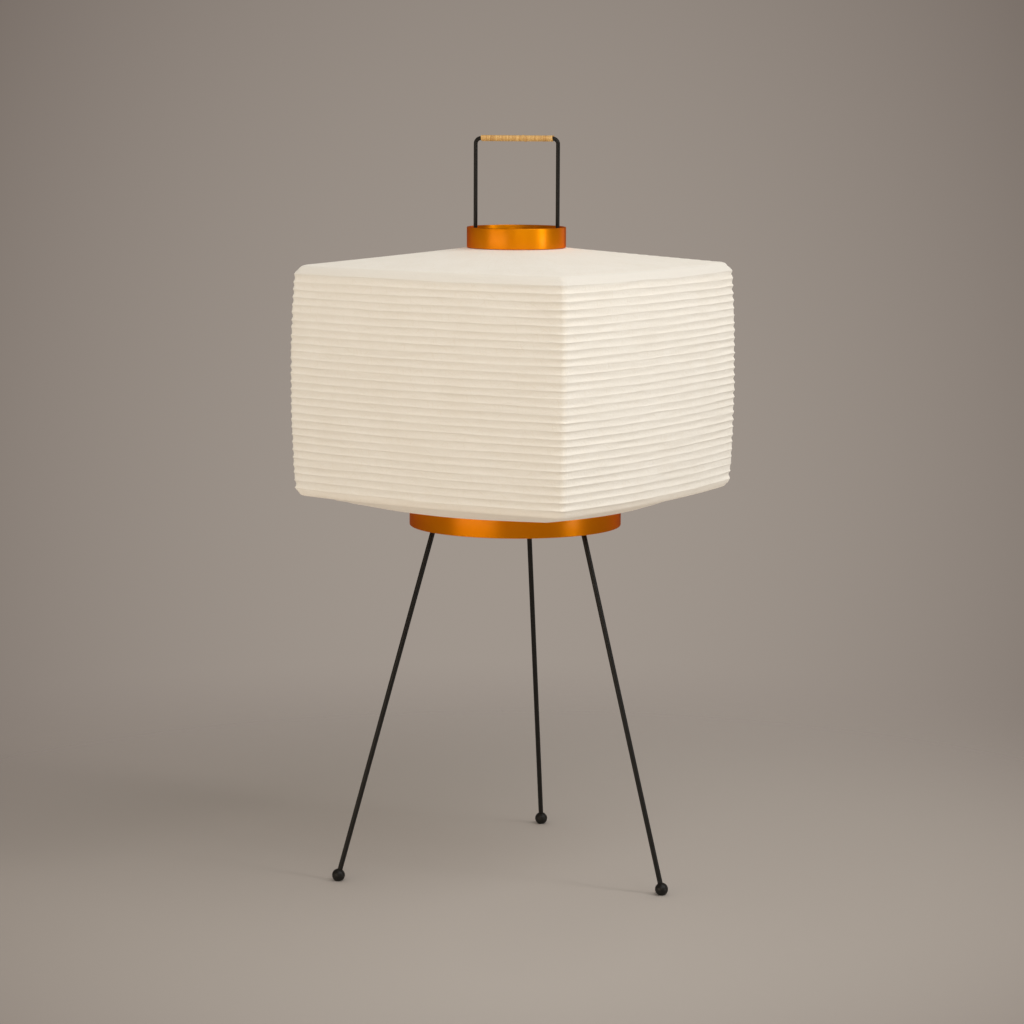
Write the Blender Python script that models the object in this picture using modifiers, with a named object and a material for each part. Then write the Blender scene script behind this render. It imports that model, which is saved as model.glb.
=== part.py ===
"""Square paper lantern floor lamp: a ribbed paper shade on three splayed bar legs.

The lamp stands on the origin, +Z is up and +Y points along the back leg. All sizes are in metres.
Two bars rise from a plate in the bottom ring, pass through the top ring and meet as the carrying
handle. The top ring slides down these bars when the shade is folded flat.
"""

import math

import bmesh
import bpy
import numpy as np
from mathutils import Matrix, Vector

# Clearances
SEAT = 0.0003                # gap left between pieces that touch
SLIDE = 0.0003               # gap between the uprights and the lugs that slide on them
THREAD_GAP = 0.0009          # gap between the bulb's cap and the lampholder

# Legs and feet
RING_UNDERSIDE = 0.3525      # height of the bottom ring's lower edge above the floor
LEG_ANGLES = {"back": 90.0, "right": -30.0, "left": 210.0}
LEG_RADIUS = 0.0025
LEG_SPLAY = math.radians(16.25)
FOOT_RADIUS = 0.0065
FOOT_FLAT_DEPTH = 0.00065    # how much of the ball is cut away where it stands
FOOT_BORE_FLOOR = 0.0017     # from the ball's centre up to the end of its bore
LEG_SOCKET_WALL = 0.0027
LEG_SOCKET_DEPTH = 0.0085
LEG_SOCKET_RECESS = 0.0005   # how far the sockets stay above the ring's lower edge
SOCKET_TO_LEDGE = 0.0019

# Bottom ring with the ledge that carries the plate
BOTTOM_RING_RADIUS = 0.1065
BOTTOM_RING_WALL = 0.003
BOTTOM_RING_HEIGHT = 0.0205
RING_LIP = 0.0008            # rounding of both rings' edges
LEDGE_RISE = 0.0085
LEDGE_THICKNESS = 0.003
LEDGE_MARGIN = 0.003         # material between the arm screws and the ledge's inner edge

# Plate with three arms, and the screws that hold it
PLATE_THICKNESS = 0.003
PLATE_MARGIN = 0.006
ARM_WIDTH = 0.014
ARM_END_GAP = 0.001
ARM_SCREW_RADIUS = 0.0019
ARM_SCREW_HEAD_RADIUS = 0.0034
ARM_SCREW_HEAD_HEIGHT = 0.0022
ARM_SCREW_TO_HOOP = 0.001

# Paper shade
SHADE_APOTHEM = 0.1755       # from the axis to the middle of a side, at mid height
SHADE_BARREL = 0.0038        # how much wider the shade is at mid height than at its shoulders
SHADE_BOW_RADIUS = 0.98      # radius that the sides are bowed to, seen from above
SHADE_CORNER_RADIUS = 0.007
SHADE_SHOULDER = 0.0115
SHADE_SIDE_HEIGHT = 0.2295
SHADE_TOP_RISE = 0.0155
SHADE_UNDERSIDE_DROP = 0.0125
SHADE_TURN = math.radians(-24.3)
PAPER_THICKNESS = 0.0007
PAPER_LIP = 0.0035           # height of the paper's pasted edge at both mouths
RIB_PITCH = 0.0076
RIB_RADIUS = 0.001
PAPER_SAG = 0.0012           # how far the paper sinks between two ribs
HOOP_THICKNESS = 0.0015
BOTTOM_HOOP_GAP = 0.0006

# Top ring, its lugs and set screws
TOP_RING_RADIUS = 0.0495
TOP_RING_WALL = 0.0025
TOP_RING_HEIGHT = 0.0204
TOP_HOOP_INSERT = 0.006      # how far the upper hoop reaches into the ring
LUG_REACH = 0.0056           # from the ring's inner wall to the upright's axis
LUG_INNER_WALL = 0.0017
LUG_WIDTH = 0.012
LUG_HEIGHT = 0.010
SET_SCREW_RADIUS = 0.0014
SET_SCREW_HEAD_RADIUS = 0.003
SET_SCREW_HEAD_HEIGHT = 0.002

# Handle frame and its cane grip
BAR_RADIUS = 0.002
BAR_BEND = 0.0055            # radius of the bar's bends, at its centre line
HANDLE_RISE = 0.0875         # from the top ring's upper edge to the grip's centre
UPRIGHT_SOCKET_WALL = 0.0022
UPRIGHT_SOCKET_HEIGHT = 0.016
CANE_TURNS = 23
CANE_THICKNESS = 0.00085
CANE_GAP = 0.0005            # gap between two turns of cane

# Lampholder and bulb
NIPPLE_RADIUS = 0.005
NIPPLE_BORE = 0.0035
NIPPLE_ABOVE = 0.003         # how far the nipple stands above the lampholder's floor
LOCKNUT_RADIUS = 0.0098
LOCKNUT_HEIGHT = 0.004
NIPPLE_BELOW = 0.0035        # how far the nipple stands below its locknut
GLAND_FLANGE_RADIUS = 0.0065
GLAND_FLANGE_HEIGHT = 0.0015
GLAND_SPIGOT = 0.005
GLAND_BORE = 0.0022
HOLDER_RADIUS = 0.0195
HOLDER_WALL = 0.002
HOLDER_FLOOR = 0.003
HOLDER_BASE_HEIGHT = 0.0195
INSERT_HEIGHT = 0.0135
INSERT_RECESS = 0.0065
HOLDER_CONTACT_RADIUS = 0.004
HOLDER_CONTACT_HEIGHT = 0.0012
BULB_CONTACT_RADIUS = 0.0045
BULB_CONTACT_HEIGHT = 0.0027
CAP_RADIUS = 0.013
CAP_THREAD_PITCH = 0.00353
CAP_THREAD_DEPTH = 0.0008
CAP_TURNS = 5
CAP_RIM = 0.005
BULB_RADIUS = 0.025
BULB_GLASS_HEIGHT = 0.068
BULB_WAIST = math.radians(-35.0)  # how far below its widest the glass stays round
BULB_NECK_RADIUS = 0.0125
GLASS_WALL = 0.001

# Fineness of round and lofted pieces
RING_SEGMENTS = 40
SMALL_SEGMENTS = 16
SCREW_SEGMENTS = 12
FOOT_RINGS = 10
SIDE_POINTS = 3              # points between the two ends of a shade side
PLANE_RINGS = 3              # rings between a mouth of the shade and its shoulder
INNER_RINGS = 6              # steps of the paper's inner face between its shoulders
RIB_SIDE_POINTS = 1          # the rib's points are some of the paper's, so that it stays inside
CANE_POINTS = 16             # points on one turn of cane
BAR_FINENESS = 3             # roundness of the bars, and 0 for the splint
WELD = 0.00001               # points nearer than this are joined
SMOOTH_ANGLE = math.radians(35.0)

# Heights, from the floor up
FOOT_CENTRE_Z = FOOT_RADIUS - FOOT_FLAT_DEPTH
LEDGE_TOP_Z = RING_UNDERSIDE + LEDGE_RISE + LEDGE_THICKNESS
PLATE_BOTTOM_Z = LEDGE_TOP_Z + SEAT
PLATE_TOP_Z = PLATE_BOTTOM_Z + PLATE_THICKNESS
ON_PLATE_Z = PLATE_TOP_Z + SEAT
BOTTOM_RING_TOP_Z = RING_UNDERSIDE + BOTTOM_RING_HEIGHT
SHADE_FOOT_Z = BOTTOM_RING_TOP_Z + SEAT
SIDE_LOW_Z = SHADE_FOOT_Z + SHADE_UNDERSIDE_DROP
SIDE_HIGH_Z = SIDE_LOW_Z + SHADE_SIDE_HEIGHT
SHADE_HEAD_Z = SIDE_HIGH_Z + SHADE_TOP_RISE
TOP_RING_Z = SHADE_HEAD_Z + SEAT
TOP_RING_TOP_Z = TOP_RING_Z + TOP_RING_HEIGHT
GRIP_Z = TOP_RING_TOP_Z + HANDLE_RISE

# Radii that follow from the rings
BOTTOM_RING_INNER = BOTTOM_RING_RADIUS - BOTTOM_RING_WALL
BOTTOM_HOOP_OUTER = BOTTOM_RING_INNER - BOTTOM_HOOP_GAP
BOTTOM_HOOP_INNER = BOTTOM_HOOP_OUTER - HOOP_THICKNESS
ARM_SCREW_CIRCLE = BOTTOM_HOOP_INNER - ARM_SCREW_TO_HOOP - ARM_SCREW_HEAD_RADIUS
LEDGE_INNER = ARM_SCREW_CIRCLE - ARM_SCREW_RADIUS - LEDGE_MARGIN
TOP_RING_INNER = TOP_RING_RADIUS - TOP_RING_WALL
TOP_HOOP_OUTER = TOP_RING_INNER - SEAT
TOP_HOOP_INNER = TOP_HOOP_OUTER - HOOP_THICKNESS
TOP_HOOP_TOP_Z = TOP_RING_Z + TOP_HOOP_INSERT
UPRIGHT_X = TOP_RING_INNER - LUG_REACH
UPRIGHT_SOCKET_RADIUS = BAR_RADIUS + SEAT + UPRIGHT_SOCKET_WALL
PLATE_RADIUS = UPRIGHT_X + UPRIGHT_SOCKET_RADIUS + PLATE_MARGIN
LEG_SOCKET_RADIUS = LEG_RADIUS + SEAT + LEG_SOCKET_WALL
BULB_FOOT_HEIGHT = BULB_CONTACT_HEIGHT + SEAT + CAP_TURNS * CAP_THREAD_PITCH + CAP_RIM
LEG_LEDGE_RADIUS = LEDGE_INNER - SOCKET_TO_LEDGE - LEG_SOCKET_RADIUS / math.cos(LEG_SPLAY)

for old in list(bpy.data.objects):
    bpy.data.objects.remove(old, do_unlink=True)

PARTS = bpy.data.collections.new("paper_lantern_floor_lamp")
CUTTERS = bpy.data.collections.new("cutters")
bpy.context.scene.collection.children.link(PARTS)
bpy.context.scene.collection.children.link(CUTTERS)


def finish(name, colour, roughness, metallic=0.0):
    """A plain surface with one colour."""
    material = bpy.data.materials.new(name)
    material.use_nodes = True
    shader = material.node_tree.nodes["Principled BSDF"]
    shader.inputs["Base Color"].default_value = (*colour, 1.0)
    shader.inputs["Roughness"].default_value = roughness
    shader.inputs["Metallic"].default_value = metallic
    return material


PAPER = finish("paper", (0.83, 0.77, 0.67), 0.85)
ORANGE = finish("orange_anodised", (0.76, 0.22, 0.006), 0.32, 1.0)
BLACK = finish("black_lacquer", (0.012, 0.010, 0.008), 0.45)
CANE = finish("cane", (0.60, 0.36, 0.13), 0.55)
BAMBOO = finish("bamboo", (0.58, 0.42, 0.22), 0.6)
STEEL = finish("zinc_steel", (0.55, 0.55, 0.54), 0.35, 1.0)
BRASS = finish("brass", (0.72, 0.52, 0.20), 0.3, 1.0)
PLASTIC = finish("black_plastic", (0.02, 0.02, 0.02), 0.5)
CERAMIC = finish("ceramic", (0.86, 0.85, 0.82), 0.3)
GLASS = finish("opal_glass", (0.90, 0.90, 0.88), 0.25)


def empty(name, height):
    """A point on the lamp's axis that pieces hang from."""
    point = bpy.data.objects.new(name, None)
    point.location = (0.0, 0.0, height)
    PARTS.objects.link(point)
    return point


BASE = empty("base_point", 0.0)
SLIDER = empty("top_ring_point", TOP_RING_Z)
THREAD = empty("bulb_point", ON_PLATE_Z)


def place(piece, material, parent, location=(0.0, 0.0, 0.0), rotation=(0.0, 0.0, 0.0)):
    """Gives a piece its finish and puts it at a place in the lamp's frame."""
    PARTS.objects.link(piece)
    piece.data.materials.append(material)
    piece.parent = parent
    piece.location = Vector(location) - parent.location
    piece.rotation_euler = rotation
    return piece


def smooth(mesh):
    mesh.shade_smooth()
    mesh.set_sharp_from_angle(angle=SMOOTH_ANGLE)


def turned(name, profile, material, parent, location, segments=SMALL_SEGMENTS, rotation=(0.0, 0.0, 0.0)):
    """A piece turned about Z from (radius, height) points that run down its outer side.

    A profile that ends on the axis is open there, and any other closes on itself."""
    mesh = bpy.data.meshes.new(name)
    points = [(radius, 0.0, height) for radius, height in profile]
    edges = [(i, i + 1) for i in range(len(points) - 1)]
    if profile[0][0] > 0.0 or profile[-1][0] > 0.0:
        edges.append((len(points) - 1, 0))
    mesh.from_pydata(points, edges, [])
    piece = bpy.data.objects.new(name, mesh)
    screw = piece.modifiers.new("turn", "SCREW")
    screw.axis = "Z"
    screw.angle = math.tau
    screw.steps = segments
    screw.render_steps = segments
    screw.use_merge_vertices = True
    screw.merge_threshold = WELD
    screw.use_smooth_shade = False
    return place(piece, material, parent, location, rotation)


def tube_profile(inner, outer, low, high, lip=0.0):
    """Section of a plain tube, with its four edges broken by a small lip."""
    if lip == 0.0:
        return [(outer, high), (outer, low), (inner, low), (inner, high)]
    return [
        (outer - lip, high), (outer, high - lip), (outer, low + lip), (outer - lip, low),
        (inner + lip, low), (inner, low + lip), (inner, high - lip), (inner + lip, high),
    ]


def rod_profile(*steps):
    """Section of a stepped round pin from (radius, top, bottom) steps, top step first."""
    points = [(0.0, steps[0][1])]
    for radius, top, bottom in steps:
        points.append((radius, top))
        points.append((radius, bottom))
    points.append((0.0, steps[-1][2]))
    return points


def bar(name, points, radius, resolution, material, parent):
    """A round bar along straight runs between points."""
    curve = bpy.data.curves.new(name, "CURVE")
    curve.dimensions = "3D"
    curve.bevel_depth = radius
    curve.bevel_resolution = resolution
    curve.use_fill_caps = True
    spline = curve.splines.new("POLY")
    spline.points.add(len(points) - 1)
    for spot, point in zip(spline.points, points):
        spot.co = (*point, 1.0)
    return place(bpy.data.objects.new(name, curve), material, parent, parent.location)


def flat(name, outlines, thickness, material, parent, location):
    """A flat piece from a closed outline and the outlines of its holes."""
    curve = bpy.data.curves.new(name, "CURVE")
    curve.dimensions = "2D"
    curve.fill_mode = "BOTH"
    curve.extrude = thickness / 2.0
    for outline in outlines:
        spline = curve.splines.new("POLY")
        spline.points.add(len(outline) - 1)
        spline.use_cyclic_u = True
        for spot, (x, y) in zip(spline.points, outline):
            spot.co = (x, y, 0.0, 1.0)
    return place(bpy.data.objects.new(name, curve), material, parent, location)


def circle(x, y, radius, segments=SMALL_SEGMENTS):
    """Points of a circle whose flats, not its corners, lie at the radius."""
    reach = radius / math.cos(math.pi / segments)
    angles = [math.tau * i / segments for i in range(segments)]
    return [(x + reach * math.cos(a), y + reach * math.sin(a)) for a in angles]


def polar(radius, degrees):
    angle = math.radians(degrees)
    return Vector((radius * math.cos(angle), radius * math.sin(angle), 0.0))


def as_mesh(curve_piece):
    """The same piece as a welded mesh, so that it can be cut."""
    bpy.context.view_layer.update()
    solved = curve_piece.evaluated_get(bpy.context.evaluated_depsgraph_get())
    mesh = bpy.data.meshes.new_from_object(solved)
    welded = bmesh.new()
    welded.from_mesh(mesh)
    bmesh.ops.remove_doubles(welded, verts=welded.verts, dist=WELD)
    welded.to_mesh(mesh)
    welded.free()
    name = curve_piece.name
    parent = curve_piece.parent
    matrix = curve_piece.matrix_world.copy()
    bpy.data.objects.remove(curve_piece, do_unlink=True)
    piece = bpy.data.objects.new(name, mesh)
    PARTS.objects.link(piece)
    piece.parent = parent
    piece.matrix_world = matrix
    return piece


def upright_cylinder(name, radius, length, segments, matrix):
    """A cylinder along the local Z of a matrix, starting at its origin."""
    mesh = bpy.data.meshes.new(name)
    shape = bmesh.new()
    bmesh.ops.create_cone(
        shape, cap_ends=True, segments=segments, radius1=radius, radius2=radius, depth=length,
        matrix=matrix @ Matrix.Translation((0.0, 0.0, length / 2.0)),
    )
    shape.to_mesh(mesh)
    shape.free()
    smooth(mesh)
    return bpy.data.objects.new(name, mesh)


def cut(piece, cutter):
    """Takes the cutter's shape out of the piece."""
    cutter.hide_render = True
    cutter.display_type = "WIRE"
    CUTTERS.objects.link(cutter)
    bite = piece.modifiers.new("cut", "BOOLEAN")
    bite.operation = "DIFFERENCE"
    bite.solver = "EXACT"
    bite.object = cutter


def block(name, low, high):
    """A box between two corners."""
    mesh = bpy.data.meshes.new(name)
    shape = bmesh.new()
    middle = (Vector(low) + Vector(high)) / 2.0
    size = Vector(high) - Vector(low)
    bmesh.ops.create_cube(shape, size=1.0, matrix=Matrix.Translation(middle) @ Matrix.Diagonal((*size, 1.0)))
    shape.to_mesh(mesh)
    shape.free()
    return bpy.data.objects.new(name, mesh)


def least_gap(points, width, per_turn):
    """Smallest clear distance between a winding's turns, measured on its points."""
    spots = np.array(points)
    best = math.inf
    for i in range(len(spots) - per_turn // 2):
        away = np.linalg.norm(spots[i + per_turn // 2:] - spots[i], axis=1)
        best = min(best, away.min() - width)
    return best


def leg_frame(degrees):
    """Matrix whose Z runs up a leg, with its origin where the leg crosses the ledge's underside."""
    ledge_z = RING_UNDERSIDE + LEDGE_RISE
    start = polar(LEG_LEDGE_RADIUS, degrees) + Vector((0.0, 0.0, ledge_z))
    up = -polar(math.sin(LEG_SPLAY), degrees) + Vector((0.0, 0.0, math.cos(LEG_SPLAY)))
    turn = up.to_track_quat("Z", "Y").to_matrix().to_4x4()
    return Matrix.Translation(start) @ turn


def legs_and_feet():
    """Three splayed bars, each between a ball foot and a tilted socket under the plate."""
    along_foot = (FOOT_CENTRE_Z - RING_UNDERSIDE - LEDGE_RISE) / math.cos(LEG_SPLAY)
    along_end = (LEG_SOCKET_RECESS - LEDGE_RISE) / math.cos(LEG_SPLAY)
    socket_length = PLATE_BOTTOM_Z - RING_UNDERSIDE + LEG_SOCKET_RADIUS
    for side, degrees in LEG_ANGLES.items():
        axis = leg_frame(degrees)
        foot_bore = axis @ Matrix.Translation((0.0, 0.0, along_foot + FOOT_BORE_FLOOR))
        socket_mouth = axis @ Matrix.Translation((0.0, 0.0, along_end))
        low = axis @ Vector((0.0, 0.0, along_foot + FOOT_BORE_FLOOR + SEAT))
        high = axis @ Vector((0.0, 0.0, along_end + LEG_SOCKET_DEPTH - SEAT))
        bar(f"leg_{side}", [low, high], LEG_RADIUS, BAR_FINENESS, BLACK, BASE)

        centre = axis @ Vector((0.0, 0.0, along_foot))
        mesh = bpy.data.meshes.new(f"foot_{side}")
        ball = bmesh.new()
        bmesh.ops.create_uvsphere(ball, u_segments=SMALL_SEGMENTS, v_segments=FOOT_RINGS, radius=FOOT_RADIUS)
        ball.to_mesh(mesh)
        ball.free()
        smooth(mesh)
        foot = place(bpy.data.objects.new(f"foot_{side}", mesh), BLACK, BASE, centre)
        bore_radius = LEG_RADIUS + SEAT
        bore = upright_cylinder(
            f"foot_bore_{side}", bore_radius, 2.0 * FOOT_RADIUS, SCREW_SEGMENTS, foot_bore)
        cut(foot, bore)
        high = Vector((centre.x + 2.0 * FOOT_RADIUS, centre.y + 2.0 * FOOT_RADIUS, 0.0))
        low = Vector((centre.x - 2.0 * FOOT_RADIUS, centre.y - 2.0 * FOOT_RADIUS, -FOOT_RADIUS))
        cut(foot, block(f"floor_cut_{side}", low, high))

        socket = upright_cylinder(
            f"leg_socket_{side}", LEG_SOCKET_RADIUS, socket_length, SMALL_SEGMENTS, socket_mouth)
        place(socket, STEEL, BASE)
        below = socket_mouth @ Matrix.Translation((0.0, 0.0, -LEG_SOCKET_DEPTH))
        bore = upright_cylinder(
            f"socket_bore_{side}", bore_radius, 2.0 * LEG_SOCKET_DEPTH, SCREW_SEGMENTS, below)
        cut(socket, bore)
        spot = polar(LEG_LEDGE_RADIUS, degrees)
        reach = Vector((1.0, 1.0, 0.0)) * 3.0 * LEG_SOCKET_RADIUS
        low = spot - reach + Vector((0.0, 0.0, LEDGE_TOP_Z))
        high = spot + reach + Vector((0.0, 0.0, LEDGE_TOP_Z + 2.0 * socket_length))
        cut(socket, block(f"socket_top_{side}", low, high))


def arm_screw_hole(side, degrees):
    spot = polar(ARM_SCREW_CIRCLE, degrees)
    low = Matrix.Translation(spot + Vector((0.0, 0.0, RING_UNDERSIDE)))
    length = BOTTOM_RING_HEIGHT
    return upright_cylinder(f"screw_hole_{side}", ARM_SCREW_RADIUS + SEAT, length, SCREW_SEGMENTS, low)


def bottom_ring():
    """Ring with an inner ledge, and a hole in the ledge under each arm screw."""
    low = RING_UNDERSIDE
    high = BOTTOM_RING_TOP_Z
    outer = BOTTOM_RING_RADIUS
    inner = BOTTOM_RING_INNER
    section = tube_profile(inner, outer, low, high, RING_LIP)
    ledge = [
        (inner, LEDGE_TOP_Z - LEDGE_THICKNESS), (LEDGE_INNER, LEDGE_TOP_Z - LEDGE_THICKNESS),
        (LEDGE_INNER, LEDGE_TOP_Z), (inner, LEDGE_TOP_Z),
    ]
    section[6:6] = ledge
    ring = turned("bottom_ring", section, ORANGE, BASE, (0.0, 0.0, 0.0), RING_SEGMENTS)
    for side, degrees in LEG_ANGLES.items():
        cut(ring, arm_screw_hole(side, degrees))


def base_plate():
    """Round plate with three arms that rest on the ring's ledge, and its screws."""
    arm_end = BOTTOM_RING_INNER - ARM_END_GAP
    half = ARM_WIDTH / 2.0
    root_angle = math.degrees(math.asin(half / PLATE_RADIUS))
    end_angle = math.degrees(math.asin(half / arm_end))
    arc_steps = 8
    outline = []
    for degrees in sorted(angle % 360.0 for angle in LEG_ANGLES.values()):
        outline.append(polar(PLATE_RADIUS, degrees - root_angle).to_2d())
        for turn in (-end_angle, 0.0, end_angle):
            outline.append(polar(arm_end, degrees + turn).to_2d())
        span = 120.0 - 2.0 * root_angle
        for step in range(arc_steps):
            outline.append(polar(PLATE_RADIUS, degrees + root_angle + span * step / arc_steps).to_2d())
    holes = [circle(0.0, 0.0, NIPPLE_RADIUS + SEAT)]
    for degrees in LEG_ANGLES.values():
        spot = polar(ARM_SCREW_CIRCLE, degrees)
        holes.append(circle(spot.x, spot.y, ARM_SCREW_RADIUS + SEAT, SCREW_SEGMENTS))
    middle = (PLATE_BOTTOM_Z + PLATE_TOP_Z) / 2.0
    flat("base_plate", [outline, *holes], PLATE_THICKNESS, STEEL, BASE, (0.0, 0.0, middle))

    shank = PLATE_THICKNESS + 2.0 * SEAT + LEDGE_THICKNESS
    section = rod_profile(
        (ARM_SCREW_HEAD_RADIUS, ARM_SCREW_HEAD_HEIGHT, 0.0), (ARM_SCREW_RADIUS, 0.0, -shank))
    for side, degrees in LEG_ANGLES.items():
        spot = polar(ARM_SCREW_CIRCLE, degrees) + Vector((0.0, 0.0, ON_PLATE_Z))
        turned(f"arm_screw_{side}", section, STEEL, BASE, spot, SCREW_SEGMENTS)


def hoops():
    """Bands that end the paper at its two mouths."""
    low = ON_PLATE_Z
    high = SHADE_FOOT_Z + PAPER_LIP
    section = tube_profile(BOTTOM_HOOP_INNER, BOTTOM_HOOP_OUTER, low, high)
    turned("bottom_hoop", section, BAMBOO, BASE, (0.0, 0.0, 0.0), RING_SEGMENTS)
    low = SHADE_HEAD_Z - PAPER_LIP - TOP_RING_Z
    section = tube_profile(TOP_HOOP_INNER, TOP_HOOP_OUTER, low, TOP_HOOP_INSERT)
    turned("top_hoop", section, BAMBOO, SLIDER, (0.0, 0.0, TOP_RING_Z), RING_SEGMENTS)


def shade_apothem(height):
    """Distance from the axis to the middle of a side, at a height between the shoulders."""
    half = SHADE_SIDE_HEIGHT / 2.0
    swell = (height - SIDE_LOW_Z - half) / half
    edge = min(height - SIDE_LOW_Z, SIDE_HIGH_Z - height)
    rounding = 0.0
    if edge < SHADE_SHOULDER:
        rounding = SHADE_SHOULDER - math.sqrt(SHADE_SHOULDER ** 2 - (SHADE_SHOULDER - edge) ** 2)
    return SHADE_APOTHEM - SHADE_BARREL * swell ** 2 - rounding


def shade_section(height, inset, side_points, tips=True):
    """Plan of the shade at a height: four bowed sides and rounded corners, moved in by an inset.

    With no tips, the corners are cut straight between the ends of the sides."""
    centre = shade_apothem(height) - SHADE_BOW_RADIUS
    bow = SHADE_BOW_RADIUS - SHADE_CORNER_RADIUS
    corner = (math.sqrt(2.0) * centre + math.sqrt(4.0 * bow ** 2 - 2.0 * centre ** 2)) / 2.0
    corner_x = corner / math.sqrt(2.0)
    tangent = math.atan2(corner_x, corner_x - centre)
    rounding = SHADE_CORNER_RADIUS - inset
    end_x = corner_x + rounding * math.cos(tangent)
    end_y = corner_x + rounding * math.sin(tangent)
    end_angle = math.atan2(end_y, end_x)
    side = SHADE_BOW_RADIUS - inset
    points = []
    for quarter in range(4):
        turn = SHADE_TURN + quarter * math.pi / 2.0
        for i in range(side_points + 2):
            angle = end_angle * (2.0 * i / (side_points + 1) - 1.0)
            reach = centre * math.cos(angle) + math.sqrt(side ** 2 - (centre * math.sin(angle)) ** 2)
            points.append((reach * math.cos(turn + angle), reach * math.sin(turn + angle)))
        if tips:
            tip = corner + rounding
            points.append((tip * math.cos(turn + math.pi / 4.0), tip * math.sin(turn + math.pi / 4.0)))
    return points


def mouth_section(radius, section):
    """Round mouth with a point in the direction of each point of a section.

    The flats between its points keep the radius clear."""
    widest = math.pi / 4.0 / (SIDE_POINTS + 1)
    reach = radius / math.cos(widest)
    lengths = [math.hypot(x, y) for x, y in section]
    return [(x / length * reach, y / length * reach) for (x, y), length in zip(section, lengths)]


def between(first, first_z, last, last_z, steps):
    """Rings on straight lines between two sections, without the two themselves."""
    rings = []
    for step in range(1, steps):
        share = step / steps
        ring = [(a + (c - a) * share, b + (d - b) * share) for (a, b), (c, d) in zip(first, last)]
        rings.append((ring, first_z + (last_z - first_z) * share))
    return rings


def shade_paper():
    """Paper skin: ribbed outside, smooth inside, with a round mouth above and below."""
    wall = PAPER_SAG + PAPER_THICKNESS
    count = round(SHADE_SIDE_HEIGHT / RIB_PITCH)
    outer = []
    for i in range(2 * count + 1):
        height = SIDE_LOW_Z + SHADE_SIDE_HEIGHT * (1.0 - i / (2 * count))
        valley = i % 2 == 0 and 0 < i < 2 * count
        outer.append((shade_section(height, PAPER_SAG if valley else 0.0, SIDE_POINTS), height))
    straight = SHADE_SIDE_HEIGHT - 2.0 * SHADE_SHOULDER
    levels = [wall]
    levels += [SHADE_SHOULDER + straight * i / INNER_RINGS for i in range(INNER_RINGS + 1)]
    levels.append(SHADE_SIDE_HEIGHT - wall)
    inner = [(shade_section(SIDE_LOW_Z + level, wall, SIDE_POINTS), SIDE_LOW_Z + level) for level in levels]

    head = SHADE_HEAD_Z
    foot = SHADE_FOOT_Z
    head_out = mouth_section(TOP_HOOP_OUTER + SEAT + PAPER_THICKNESS, outer[0][0])
    head_in = mouth_section(TOP_HOOP_OUTER + SEAT, outer[0][0])
    foot_out = mouth_section(BOTTOM_HOOP_OUTER + SEAT + PAPER_THICKNESS, outer[0][0])
    foot_in = mouth_section(BOTTOM_HOOP_OUTER + SEAT, outer[0][0])
    rings = [(head_out, head)]
    rings += between(head_out, head, *outer[0], PLANE_RINGS)
    rings += outer
    rings += between(*outer[-1], foot_out, foot, PLANE_RINGS)
    rings += [(foot_out, foot), (foot_in, foot), (foot_in, foot + PAPER_LIP)]
    rings += between(foot_in, foot + PAPER_LIP, *inner[0], PLANE_RINGS)
    rings += inner
    rings += between(*inner[-1], head_in, head - PAPER_LIP, PLANE_RINGS)
    rings += [(head_in, head - PAPER_LIP), (head_in, head)]

    loft = bmesh.new()
    loops = [[loft.verts.new((x, y, height)) for x, y in ring] for ring, height in rings]
    for upper, lower in zip(loops, loops[1:] + loops[:1]):
        for i in range(len(upper)):
            j = (i + 1) % len(upper)
            loft.faces.new((upper[i], lower[i], lower[j], upper[j]))
    mesh = bpy.data.meshes.new("shade_paper")
    loft.to_mesh(mesh)
    loft.free()
    place(bpy.data.objects.new("shade_paper", mesh), PAPER, BASE)


def bamboo_rib():
    """One long splint that winds down inside the paper from shoulder to shoulder."""
    inset = PAPER_SAG + PAPER_THICKNESS + SEAT + RIB_RADIUS
    high = SIDE_HIGH_Z - SHADE_SHOULDER
    turns = math.floor((SHADE_SIDE_HEIGHT - 2.0 * SHADE_SHOULDER) / RIB_PITCH)
    per_turn = 4 * (RIB_SIDE_POINTS + 2)
    points = []
    for i in range(turns * per_turn + 1):
        height = high - RIB_PITCH * i / per_turn
        x, y = shade_section(height, inset, RIB_SIDE_POINTS, False)[i % per_turn]
        points.append((x, y, height))
    bar("bamboo_rib", points, RIB_RADIUS, 0, BAMBOO, BASE)
    gap = least_gap(points, 2.0 * RIB_RADIUS, per_turn)
    print(f"bamboo_rib: {turns} turns, least gap {gap * 1000.0:.2f} mm")


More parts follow.
